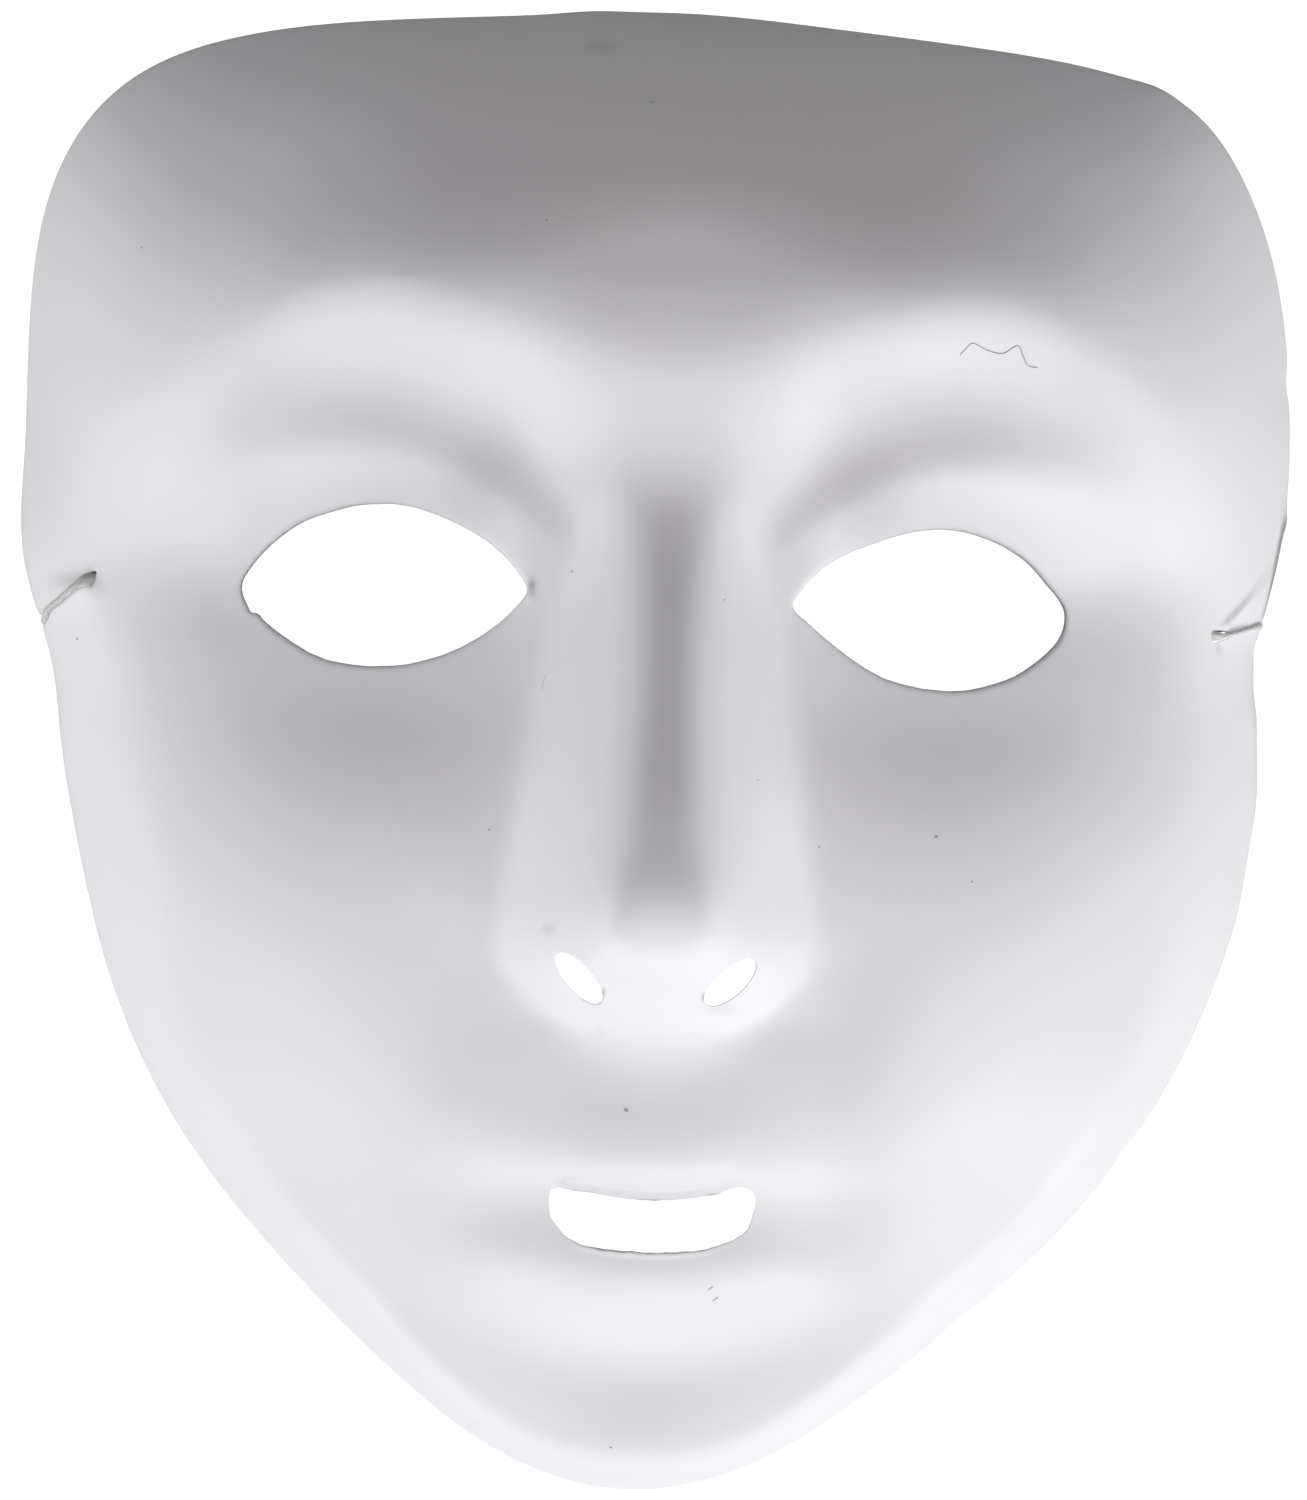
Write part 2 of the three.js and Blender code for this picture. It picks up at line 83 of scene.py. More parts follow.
def hump(x: Array, width: float) -> Array:
    """A smooth hump of height 1 at 0, which has died away at twice its width."""
    return np.exp(-((x / width) ** 2))


def leaning_hump(x: Array, above: float, below: float) -> Array:
    """A hump whose two sides have their own widths."""
    return np.where(x > 0, hump(x, above), hump(x, below))


def ease(x: Array, start: float, stop: float) -> Array:
    """A smooth step from 0 at start to 1 at stop, which may also run downwards."""
    t = np.clip((x - start) / (stop - start), 0.0, 1.0)
    return t * t * (3.0 - 2.0 * t)


def rounded_min(a: Array, b: Array, width: Array) -> Array:
    """The lower of two heights with a round join of the given width."""
    h = np.clip(width - np.abs(a - b), 0.0, None) / width
    return np.minimum(a, b) - h**3 * width / 6.0


class CubicCurve:
    """A natural cubic curve through named points."""

    def __init__(self, points: Sequence[Point]) -> None:
        """Solves the curve's bends.

        Args:
            points: Pairs of place and height, in rising order of place.
        """
        self.at = np.array([p[0] for p in points], float)
        self.height = np.array([p[1] for p in points], float)
        count = len(points)
        system = np.eye(count)
        load = np.zeros(count)
        gaps = np.diff(self.at)
        for i in range(1, count - 1):
            system[i, i - 1 : i + 2] = gaps[i - 1], 2 * (gaps[i - 1] + gaps[i]), gaps[i]
            rise = (self.height[i + 1] - self.height[i]) / gaps[i]
            load[i] = 6 * (rise - (self.height[i] - self.height[i - 1]) / gaps[i - 1])
        self.bend = np.linalg.solve(system, load)

    def __call__(self, x: Array) -> Array:
        """Works out the curve's height.

        Args:
            x: Places along the curve.

        Returns:
            The height at each place.
        """
        q = np.clip(x, self.at[0], self.at[-1])
        i = np.clip(np.searchsorted(self.at, q) - 1, 0, len(self.at) - 2)
        gap = self.at[i + 1] - self.at[i]
        a = (self.at[i + 1] - q) / gap
        b = 1.0 - a
        bow = (a**3 - a) * self.bend[i] + (b**3 - b) * self.bend[i + 1]
        return a * self.height[i] + b * self.height[i + 1] + bow * gap * gap / 6.0


def to_row(points: Array) -> Array:
    """Puts N by 3 points from face-frame millimetres into the row frame in metres."""
    return (np.array(points, float) + (*FRAME_SHIFT, 0.0)) * MM


def from_row(points: Array) -> Array:
    """Puts N by 3 points from the row frame in metres back into face-frame millimetres."""
    return points / MM - (*FRAME_SHIFT, 0.0)


def outline_distance(x: Array, y: Array, outline: Array) -> tuple[Array, Array]:
    """Measures how far points lie from a closed outline.

    Args:
        x: Across, one value a point.
        y: Up, one value a point.
        outline: The closed outline's corners, N by 2.

    Returns:
        The distance of each point, and whether each point lies inside the outline.
    """
    if len(x) > BATCH:
        starts = range(0, len(x), BATCH)
        parts = [outline_distance(x[i : i + BATCH], y[i : i + BATCH], outline) for i in starts]
        return np.concatenate([part[0] for part in parts]), np.concatenate([part[1] for part in parts])
    stop = np.roll(outline, -1, axis=0)
    run = stop - outline
    off_x, off_y = x[:, None] - outline[:, 0], y[:, None] - outline[:, 1]
    along = np.clip((off_x * run[:, 0] + off_y * run[:, 1]) / (run**2).sum(1), 0.0, 1.0)
    gap = (off_x - along * run[:, 0]) ** 2 + (off_y - along * run[:, 1]) ** 2
    crosses = (outline[:, 1] > y[:, None]) != (stop[:, 1] > y[:, None])
    with np.errstate(divide="ignore", invalid="ignore"):
        at = outline[:, 0] + off_y * run[:, 0] / run[:, 1]
    inside = (crosses & (x[:, None] < at)).sum(1) % 2 == 1
    return np.sqrt(gap.min(1)), inside


def in_box(points: Array, outline: Array, margin: float = 0.0) -> Array:
    """Whether each point lies in an outline's box or within a margin of it."""
    return np.all((points > outline.min(0) - margin) & (points < outline.max(0) + margin), axis=1)


def in_hole(points: Array, outline: Array, margin: float = 0.0) -> Array:
    """Finds the points that lie in a hole.

    Args:
        points: N by 2 points.
        outline: The hole's edge.
        margin: Distance from the edge within which a point counts too.

    Returns:
        Whether each point lies there.
    """
    near = in_box(points, outline, margin)
    distance, inside = outline_distance(*points[near].T, outline)
    hit = np.zeros(len(points), bool)
    hit[near] = inside | (distance < margin)
    return hit


def outline_normals(line: Array) -> Array:
    """Directions that point out of an anticlockwise outline, N by 2."""
    run = np.roll(line, -1, axis=0) - np.roll(line, 1, axis=0)
    out = np.stack([run[:, 1], -run[:, 0]], axis=1)
    return out / np.linalg.norm(out, axis=1, keepdims=True)


def distance_along(line: Array) -> Array:
    """Distance of each point of a line from its first one, measured along the line."""
    return np.concatenate([[0.0], np.cumsum(np.linalg.norm(np.diff(line, axis=0), axis=1))])


def smooth_piece(four: Sequence[Array], samples: int) -> Array:
    """A smooth stretch between the middle two of four points.

    Args:
        four: Four points in a row, flat or in space.
        samples: Number of points that come out, from the second point on and without the third.

    Returns:
        The stretch's points.
    """
    least = 1e-6
    p0, p1, p2, p3 = four
    k1, k2, k3 = (max(float(np.linalg.norm(b - a)) ** 0.5, least) for a, b in zip(four, four[1:]))
    leave = k2 * ((p1 - p0) / k1 - (p2 - p0) / (k1 + k2) + (p2 - p1) / k2)
    reach = k2 * ((p2 - p1) / k2 - (p3 - p1) / (k2 + k3) + (p3 - p2) / k3)
    t = np.linspace(0.0, 1.0, samples, endpoint=False)[:, None]
    return (
        (2 * t**3 - 3 * t**2 + 1) * p1 + (t**3 - 2 * t**2 + t) * leave
        + (3 * t**2 - 2 * t**3) * p2 + (t**3 - t**2) * reach
    )


def evenly_spaced(line: Array, step: float, least: int, closed: bool = False) -> Array:
    """Points at even distances along a line.

    Args:
        line: The line's own points.
        step: Distance between the points that come out.
        least: Smallest number of points.
        closed: Whether the line ends where it starts, so that its last point is left out.

    Returns:
        The evenly spaced points.
    """
    length = distance_along(line)
    at = np.linspace(0.0, length[-1], max(int(length[-1] / step), least), endpoint=not closed)
    return np.stack([np.interp(at, length, column) for column in line.T], axis=1)


def closed_curve(points: Sequence[Point], spacing: float) -> Array:
    """A smooth closed outline through given points, evenly spaced.

    Args:
        points: The outline's points, in order.
        spacing: Distance between the points that come out.

    Returns:
        The outline as N by 2 points, anticlockwise.
    """
    ring = np.array(points, float)
    around = np.concatenate([ring[-1:], ring, ring[:2]])
    line = np.concatenate([smooth_piece(around[i : i + 4], OUTLINE_SAMPLES) for i in range(len(ring))])
    after = np.roll(line, -1, axis=0)
    if (line[:, 0] * after[:, 1] - line[:, 1] * after[:, 0]).sum() < 0:
        line = line[::-1]
    return evenly_spaced(np.concatenate([line, line[:1]]), spacing, least=12, closed=True)


def smooth_route(points: Array, step: float) -> Array:
    """An evenly spaced line along the same smooth curve that the solid follows.

    Args:
        points: Route points, N by 3, millimetres.
        step: Distance between the points that come out.

    Returns:
        The line's points, M by 3.
    """
    route = np.array(points, float)
    ends = np.concatenate([[2 * route[0] - route[1]], route, [2 * route[-1] - route[-2]]])
    pieces = [smooth_piece(ends[i : i + 4], ROUTE_SAMPLES) for i in range(len(route) - 1)]
    return evenly_spaced(np.concatenate([*pieces, route[-1:]]), step, least=4)


class Relief:
    """A shape that raises or lowers the face."""

    def relief(self, x: Array, y: Array) -> Array:
        """Works out the height that the shape adds.

        Args:
            x: Across, one value a point, or the distance from the middle line for a shape on both sides.
            y: Up, one value a point.

        Returns:
            The added heights.
        """
        raise NotImplementedError


@dataclass(frozen=True)
class Swell(Relief):
    """A soft swell of the face, or a hollow where its height is less than nothing."""

    x: float
    y: float
    height: float
    across: float
    above: float
    below: float | None = None

    def relief(self, x: Array, y: Array) -> Array:
        """Height that the swell adds at each point."""
        below = self.above if self.below is None else self.below
        return self.height * hump(x - self.x, self.across) * leaning_hump(y - self.y, self.above, below)


@dataclass(frozen=True)
class Crease(Relief):
    """A fold of the sheet along a straight line, as a step up on its right-hand side.

    The spans say where it begins, grows and ends, as shares of its length.
    """

    start: Point
    stop: Point
    height: float
    width: float
    reach: float
    width_span: Span = (0.5, 1.1)
    reach_span: Span = (0.2, 1.2)
    begins: Span = (-0.04, 0.08)
    ends: Span = (1.5, 1.1)
    first_height: float = 0.4
    added_height: float = 0.75

    def relief(self, x: Array, y: Array) -> Array:
        """Height of the crease, which dies away at its reach to the right of the line."""
        ax, ay = self.start
        dx, dy = self.stop[0] - ax, self.stop[1] - ay
        length = math.hypot(dx, dy)
        along = ((x - ax) * dx + (y - ay) * dy) / length**2
        off = ((x - ax) * dy - (y - ay) * dx) / length
        spread = self.width * np.clip(along, *self.width_span)
        step = ease(off, -spread, spread) * ease(off, self.reach * np.clip(along, *self.reach_span), spread)
        growth = self.first_height + self.added_height * np.clip(along, 0.0, self.width_span[1])
        return self.height * (ease(along, *self.begins) * growth * ease(along, *self.ends)) * step


@dataclass(frozen=True)
class Brow(Relief):
    """The arched ridge over each eye."""

    y: float = 54.9
    arch: float = 8.3
    arch_x: float = 41.0
    arch_width: float = 20.0
    fall: float = 9.8
    fall_span: Span = (50.0, 78.0)
    base: float = 2.1
    extra: float = 4.2
    extra_x: float = 48.3
    extra_width: float = 26.7
    above: float = 20.6
    below: float = 10.3
    fade: Span = (91.4, 52.0)

    def relief(self, x: Array, y: Array) -> Array:
        """Height of the ridge, the same on both sides."""
        line = self.y + self.arch * hump(x - self.arch_x, self.arch_width)
        line = line - self.fall * ease(x, *self.fall_span)
        strength = self.base + self.extra * hump(x - self.extra_x, self.extra_width)
        return ease(x, *self.fade) * leaning_hump(y - line, self.above, self.below) * strength


@dataclass(frozen=True)
class EyeSocket(Relief):
    """The hollow of each eye and the upper lid in it."""

    x: float = 34.9
    y: float = 23.2
    depth: float = 5.6
    toward_nose: float = 20.2
    toward_temple: float = 40.0
    tall: float = 11.4
    lid_x: float = 43.3
    lid_y: float = 38.2
    lid_height: float = 2.7
    lid_above: float = 5.8
    lid_below: float = 12.0
    bend_in: float = 0.014
    bend_out: float = 0.006
    lid_from: Span = (9.0, 22.0)
    lid_to: Span = (66.0, 40.0)

    def relief(self, x: Array, y: Array) -> Array:
        """Height of the lid less the depth of the hollow."""
        aside = x - self.x
        width = np.where(aside < 0, self.toward_nose, self.toward_temple)
        hollow = self.depth * hump(aside / width, 1.0) * hump(y - self.y, self.tall)
        off = x - self.lid_x
        line = self.lid_y - np.where(off < 0, self.bend_in, self.bend_out) * off * off
        lid = self.lid_height * leaning_hump(y - line, self.lid_above, self.lid_below)
        return lid * ease(x, *self.lid_from) * ease(x, *self.lid_to) - hollow


@dataclass(frozen=True)
class LowerLip(Relief):
    """The lower lip and the crease under it, both bent up at their ends."""

    lip_y: float = -72.2
    lip_height: float = 3.6
    lip_tall: float = 6.8
    crease_y: float = -84.3
    crease_depth: float = 2.0
    crease_tall: float = 6.4
    across: float = 22.5
    smile: float = 0.006

    def relief(self, x: Array, y: Array) -> Array:
        """Height of the lip less the depth of the crease."""
        lifted = y - self.smile * x * x
        lip = self.lip_height * hump(lifted - self.lip_y, self.lip_tall)
        crease = self.crease_depth * hump(lifted - self.crease_y, self.crease_tall)
        return (lip - crease) * hump(x, self.across)


@dataclass(frozen=True)
class RimDent:
    """A dent in the edge of the wall, or a bulge where its depth is less than nothing."""

    turn: float
    depth: float
    spread: float
    lean: float = 0.0
    tall: float = 6.0

    def pull(self, turn: Array, inset: Array) -> Array:
        """How far each point is pressed inwards.

        Args:
            turn: Angle of each point, degrees.
            inset: Its distance in from the rim. The dent leans with the strand as it goes in.

        Returns:
            The inward distances, millimetres.
        """
        off = turn - self.turn - self.lean * inset
        return self.depth * hump(off, self.spread) * ease(inset, self.tall, 0.0)


@dataclass
class FaceForm:
    """The formed front surface of the mask, as a height over the table."""

    sheet: float = 0.9
    rim_outline: tuple[Point, ...] = (
        (0, 85.1), (10, 85.3), (20, 93.0), (30, 101.9), (40, 111.4), (46, 116.1), (52, 118.3), (58, 115.3),
        (66, 109.6), (78, 104.4), (90, 103.5), (102, 104.7), (113, 109.8), (122, 116.2), (130, 120.2),
        (138, 117.3), (147, 107.7), (156, 98.8), (165, 92.9), (173, 86.2), (180, 83.9), (190, 82.6),
        (205, 83.4), (222, 86.0), (238, 89.9), (250, 95.8), (260, 101.9), (270, 104.7), (280, 101.8),
        (290, 96.0), (302, 91.1), (318, 88.1), (340, 86.0),
    )
    middle_line: tuple[Point, ...] = (
        (-112, 14.6), (-95, 24.7), (-80, 30.6), (-64, 36.7), (-48, 41.7), (-30, 43.8), (-10, 44.6),
        (12, 44.2), (30, 46.8), (44, 50.7), (56, 52.4), (72, 49.7), (90, 42.0), (112, 36.2),
    )
    nose_rise: tuple[Point, ...] = (
        (-70, 0), (-55, 0.9), (-46, 1.0), (-41, 0.9), (-37.5, 2.4), (-33, 10.5), (-28.5, 22.1), (-24.5, 25.4),
        (-20.5, 26.1), (-14, 24.8), (0, 19.7), (20, 11.3), (34, 3.7), (40, 1.5), (48, 0), (60, 0), (80, 0),
    )
    nose_half_width: tuple[Point, ...] = (
        (-60, 17), (-42, 21.5), (-36, 21), (-28, 26), (-20, 25.6), (-5, 24), (20, 19.1), (40, 16.4),
        (60, 16.6),
    )
    nose_crown: float = 2.6
    nose_flank: float = 4.6
    cross_radius: float = 122.0
    brow: Brow = Brow()
    socket: EyeSocket = EyeSocket()
    lower_lip: LowerLip = LowerLip()
    both_sides: tuple[Swell, ...] = (
        Swell(9.0, -24.0, 3.0, 4.5, 15.2, 5.6), Swell(53.5, -17.2, 3.8, 25.7, 22.4),
        Swell(24.2, -65.1, -1.55, 9.8, 8.6), Swell(68.3, 33.8, 3.4, 16.6, 18.5),
        Swell(25.9, -33.5, -1.7, 7.0, 16.2), Swell(21.5, 37.2, -3.3, 8.0, 13.9),
        Swell(51.3, 75.8, -1.9, 16.3, 12.2), Swell(38.4, 6.3, -1.45, 19.7, 8.1),
        Swell(49.8, -59.1, -2.2, 19.1, 18.0), Swell(17.0, -37.0, -0.35, 6.0, 3.5, 4.0),
    )
    in_the_middle: tuple[Swell, ...] = (
        Swell(0.0, -55.8, 2.9, 17.7, 8.7, 2.9), Swell(0.0, -43.4, -0.7, 9.5, 6.9),
        Swell(0.0, -97.9, 1.2, 17.8, 4.6), Swell(0.0, 62.8, -2.2, 16.6, 11.6),
        Swell(0.0, -24.0, 0.5, 9.0, 6.9), Swell(0.0, 38.5, -0.7, 9.6, 9.0),
        Swell(0.0, -37.2, 1.6, 8.0, 3.0, 8.5), Swell(0.0, 61.4, 0.18, 9.0, 3.6),
        Swell(0.0, 53.4, -0.18, 9.0, 3.6), Swell(0.0, -6.0, 0.5, 6.5, 15.0, 8.0),
        Swell(0.0, 32.0, -0.55, 6.5, 8.0, 13.0),
    )
    rim_lift_forehead: float = 7.0
    rim_lift_elastic: float = 4.6
    elastic_turns: tuple[float, ...] = (9.0, 170.0)
    elastic_spread: float = 26.0
    dents: tuple[RimDent, ...] = (
        RimDent(170.0, 0.9, 0.4, lean=-0.45, tall=3.0), RimDent(13.6, 0.25, 0.4, tall=3.0),
        RimDent(21.9, -0.35, 0.9, tall=4.0), RimDent(11.6, 0.4, 1.3), RimDent(5.0, -0.4, 2.6),
        RimDent(352.0, 0.4, 4.5), RimDent(32.0, 0.4, 1.2), RimDent(54.8, -0.35, 1.6),
        RimDent(97.0, -0.3, 3.0), RimDent(299.5, 0.4, 2.4), RimDent(321.5, 0.3, 2.2),
    )
    marks: tuple[Swell, ...] = (
        Swell(-82.0, 19.2, 1.6, 3.6, 1.7, 2.4), Swell(-18.2, 21.2, -0.35, 0.7, 0.6),
        Swell(-18.1, 20.0, 0.2, 0.6, 0.5), Swell(-14.4, -24.3, 0.12, 0.7, 0.6),
        Swell(-36.8, 61.5, 0.14, 0.9, 0.8), Swell(32.0, 50.8, -0.5, 14.0, 5.5),
        Swell(-38.0, 54.0, 0.3, 18.0, 6.5), Swell(-38.0, 36.0, -0.3, 18.0, 6.5),
        Swell(-60.5, 31.5, 0.3, 4.5, 5.0), Swell(-60.5, 18.5, -0.3, 4.5, 5.0),
        Swell(60.5, 25.2, -0.22, 4.5, 3.5), Swell(30.0, 37.8, 0.18, 9.0, 4.0),
    )
    creases: tuple[Crease, ...] = (
        Crease((77.3, 19.6), (84.7, 27.2), height=1.65, width=1.4, reach=7.0),
        Crease((78.3, 15.6), (76.9, 17.4), height=-0.4, width=0.5, reach=1.6),
    )
    # Sizes of the side wall: at the sides, then what the forehead and the chin add
    wall_slope: Triple = (3.95, -1.15, 2.65)
    wall_bend: Triple = (0.023, -0.011, 0.008)
    shoulder: Triple = (31.0, 2.3, -10.5)
    forehead_span: Span = (0.45, 0.95)
    chin_span: Span = (0.1, -0.8)
    # Reach of the wall from the rim to the middle, and what is added over spans of the sine of the angle
    wall_reach: float = 86.0
    reach_steps: tuple[Triple, ...] = ((18.0, 0.5, 1.0), (-2.0, 0.0, -0.5), (20.0, -0.85, -1.0))
    lift_from: float = 0.75
    settle_from: float = 0.6
    marks_until: float = 0.985
    slope_step: float = 0.2

    def __post_init__(self) -> None:
        """Fits the curves through the named sizes."""
        overlap = 5
        ring = list(self.rim_outline)
        before = [(a - FULL_TURN, r) for a, r in ring[-overlap:]]
        after = [(a + FULL_TURN, r) for a, r in ring[:overlap]]
        self.rim_curve = CubicCurve(before + ring + after)
        self.middle = CubicCurve(self.middle_line)
        self.nose_height = CubicCurve(self.nose_rise)
        self.nose_width = CubicCurve(self.nose_half_width)

    def rim_radius(self, angle: Array) -> Array:
        """Distance of the rim from the face's middle at an angle in radians."""
        return self.rim_curve(np.mod(np.degrees(angle), FULL_TURN))

    def inset(self, x: Array, y: Array) -> Array:
        """Distance of each point in from the rim, along its radius."""
        return self.rim_radius(np.arctan2(y, x)) - np.hypot(x, y)

    def rim_height(self, angle: Array) -> Array:
        """Height of the rim over the table.

        Args:
            angle: Angles round the face, radians.

        Returns:
            The heights, raised at the forehead and where the elastic goes round the rim.
        """
        turn = np.mod(np.degrees(angle), FULL_TURN)
        gaps = np.abs(turn - np.array(self.elastic_turns)[:, None])
        apart = np.minimum(gaps, FULL_TURN - gaps).min(axis=0)
        forehead = self.rim_lift_forehead * ease(np.sin(angle), self.lift_from, 1.0)
        return forehead + self.rim_lift_elastic * ease(apart, self.elastic_spread, 0.0)

    def features(self, x: Array, y: Array) -> Array:
        """Works out brows, eyes, nose, cheeks, lips and chin.

        Args:
            x: Across, one value a point.
            y: Up, one value a point.

        Returns:
            Their height over the plain face.
        """
        ax = np.abs(x)
        across = np.clip(ax / self.nose_width(y), 0.0, 1.0)
        bridge = (1 - across**self.nose_crown) ** self.nose_flank
        nose = np.clip(self.nose_height(y), 0.0, None) * bridge
        swells = sum(swell.relief(ax, y) for swell in self.both_sides)
        swells = swells + sum(swell.relief(x, y) for swell in self.in_the_middle)
        eyes = self.brow.relief(ax, y)
        return nose + swells + eyes + self.socket.relief(ax, y) + self.lower_lip.relief(x, y)

    def round_face(self, sizes: Triple, angle: Array) -> Array:
        """A size of the side wall at each angle, eased between sides, forehead and chin."""
        side, forehead, chin = sizes
        up = np.sin(angle)
        return side + forehead * ease(up, *self.forehead_span) + chin * ease(up, *self.chin_span)

    def formed(self, x: Array, y: Array, angle: Array, inset: Array) -> Array:
        """Joins the face and its side wall by a round shoulder.

        Args:
            x: Across, one value a point.
            y: Up, one value a point.
            angle: Angle of each point, radians.
            inset: Distance of each point in from the rim.

        Returns:
            The heights over the table.
        """
        rise = self.round_face(self.wall_slope, angle) * inset
        bend = self.round_face(self.wall_bend, angle)
        wall = self.rim_height(angle) + rise / (1 + bend * np.clip(inset, 0.0, None))
        face = self.middle(y) - x * x / (2 * self.cross_radius) + self.features(x, y)
        return rounded_min(wall, face, self.round_face(self.shoulder, angle))

    def height(self, x: Array, y: Array) -> Array:
        """Works out the front surface.

        Args:
            x: Across, one value a point.
            y: Up, one value a point.

        Returns:
            Its height over the table.
        """
        angle = np.arctan2(y, x)
        radius = self.rim_radius(angle)
        share = np.hypot(x, y) / radius
        reach = self.wall_reach
        for added, start, stop in self.reach_steps:
            reach = reach + added * ease(np.sin(angle), start, stop)
        face = self.formed(x, y, angle, (1 - share) * reach)
        at_rim = self.formed(radius * np.cos(angle), radius * np.sin(angle), angle, np.zeros_like(angle))
        settled = face - ease(share, self.settle_from, 1.0) * (at_rim - self.rim_height(angle))
        fine = sum(mark.relief(x, y) for mark in self.marks)
        fine = fine + sum(crease.relief(x, y) for crease in self.creases)
        return settled + ease(share, 1.0, self.marks_until) * fine

    def dented(self, x: Array, y: Array) -> tuple[Array, Array]:
        """Presses points near the rim inwards where the elastic goes round it.

        Args:
            x: Across, one value a point.
            y: Up, one value a point.

        Returns:
            The points' new places, across and up.
        """
        turn = np.mod(np.degrees(np.arctan2(y, x)), FULL_TURN)
        inset = self.inset(x, y)
        share = 1 - sum(dent.pull(turn, inset) for dent in self.dents) / np.hypot(x, y)
        return x * share, y * share

    def normal(self, x: Array, y: Array) -> Array:
        """Works out which way the front surface faces.

        Args:
            x: Across, one value a point.
            y: Up, one value a point.

        Returns:
            The outward direction at each point, N by 3.
        """
        step = self.slope_step
        rise_x = (self.height(x + step, y) - self.height(x - step, y)) / (2 * step)
        rise_y = (self.height(x, y + step) - self.height(x, y - step)) / (2 * step)
        direction = np.stack([-rise_x, -rise_y, np.ones_like(rise_x)], axis=1)
        return direction / np.linalg.norm(direction, axis=1, keepdims=True)

    def off_front(self, x: float, y: float, distance: float) -> Array:
        """A point off the front surface along its normal.

        Args:
            x: Across.
            y: Up.
            distance: Distance off the surface, less than nothing for inside the mask.

        Returns:
            The point in space.
        """
        px, py = np.array([x], float), np.array([y], float)
        foot = np.array([x, y, float(self.height(px, py)[0])])
        return foot + distance * self.normal(px, py)[0]

    def rim_point(self, degrees: float) -> Array:
        """Finds a point of the rim.

        Args:
            degrees: Its angle round the face.

        Returns:
            The point in space.
        """
        angle = np.array([math.radians(degrees)])
        radius = float(self.rim_radius(angle)[0])
        height = float(self.rim_height(angle)[0])
        return np.array([radius * math.cos(angle[0]), radius * math.sin(angle[0]), height])


@dataclass
class Opening:
    """A hole cut through the sheet, with the slightly rolled edge that the cutter leaves."""

    name: str
    outline: tuple[Point, ...]
    spacing: float
    roll: float
    roll_depth: float
    ragged: float = 0.0
    rows: tuple[float, ...] = (0.12, 0.3, 0.6, 1.0, 1.5)

    def cut_line(self, rng: np.random.Generator) -> Array:
        """The edge of the hole, as the knife left it.

        Args:
            rng: Seeded source of the small waver of the cut.

        Returns:
            The outline as N by 2 points, anticlockwise.
        """
        line = closed_curve(self.outline, self.spacing)
        if self.ragged == 0.0:
            return line
        waver = rng.normal(0.0, self.ragged, len(line))
        waver = (waver + np.roll(waver, 1) + np.roll(waver, -1)) / 3.0
        return line + waver[:, None] * outline_normals(line)

    def edge_rows(self, line: Array) -> list[Array]:
        """Rows of points round the hole, further and further from its edge."""
        return [line + distance * outline_normals(line) for distance in self.rows]

    def relief(self, x: Array, y: Array, line: Array) -> Array:
        """Works out the rolled edge.

        Args:
            x: Across, one value a point.
            y: Up, one value a point.
            line: The edge of the hole.

        Returns:
            The height that it adds near the hole, which is less than nothing.
        """
        distance, inside = outline_distance(x, y, line)
        share = np.clip(1 - distance / self.roll, 0.0, 1.0)
        share = np.where(inside, 1.0, share)
        return -self.roll_depth * (1 - np.sqrt(np.clip(1 - share**2, 0.0, 1.0)))


@dataclass
class MouthOpening(Opening):
    """The slot between the lips: its upper edge is turned in, and its lower edge has a thin burr.

    The spans run across the face or up from the slot's bent middle line.
    """

    turned_depth: float = 1.5
    turned_width: float = 1.25
    burr_height: float = 0.2
    burr_width: float = 0.4
    burr_offset: float = 0.25
    middle_x: float = 1.0
    smile: float = 0.012
    upper_edge: Span = (-0.2, 1.2)
    turned_right: Span = (14.0, 8.0)
    turned_left: Span = (-13.5, -11.0)
    lower_edge: Span = (-0.6, -2.4)
    burr_left: Span = (-12.0, -6.0)
    burr_right: Span = (13.0, 3.0)

    def relief(self, x: Array, y: Array, line: Array) -> Array:
        """Works out the turned upper lip and the burr along the lower one.

        Args:
            x: Across, one value a point.
            y: Up, one value a point.
            line: The edge of the slot.

        Returns:
            The added heights.
        """
        distance, inside = outline_distance(x, y, line)
        up = y - line[:, 1].mean() - self.smile * (x - self.middle_x) ** 2
        above = ease(up, *self.upper_edge) * ease(x, *self.turned_right) * ease(x, *self.turned_left)
        share = np.where(inside, 1.0, np.clip(1 - distance / self.turned_width, 0.0, 1.0))
        below = ease(up, *self.lower_edge) * ease(x, *self.burr_left) * ease(x, *self.burr_right)
        burr = self.burr_height * below * hump(distance - self.burr_offset, self.burr_width) * ~inside
        return burr - self.turned_depth * above * share


def ellipse(centre: Point, length: float, width: float, tilt: float, count: int = 16) -> tuple[Point, ...]:
    """Points of a long round hole.

    Args:
        centre: Its middle.
        length: Its long size.
        width: Its short size.
        tilt: Turn of the long size from +X, degrees.
        count: Number of points.

    Returns:
        The points in order.
    """
    turn = np.linspace(0, 2 * math.pi, count, endpoint=False)
    lean = math.radians(tilt)
    along, over = length / 2 * np.cos(turn), width / 2 * np.sin(turn)
    x = centre[0] + along * math.cos(lean) - over * math.sin(lean)
    y = centre[1] + along * math.sin(lean) + over * math.cos(lean)
    return tuple(zip(x.tolist(), y.tolist()))


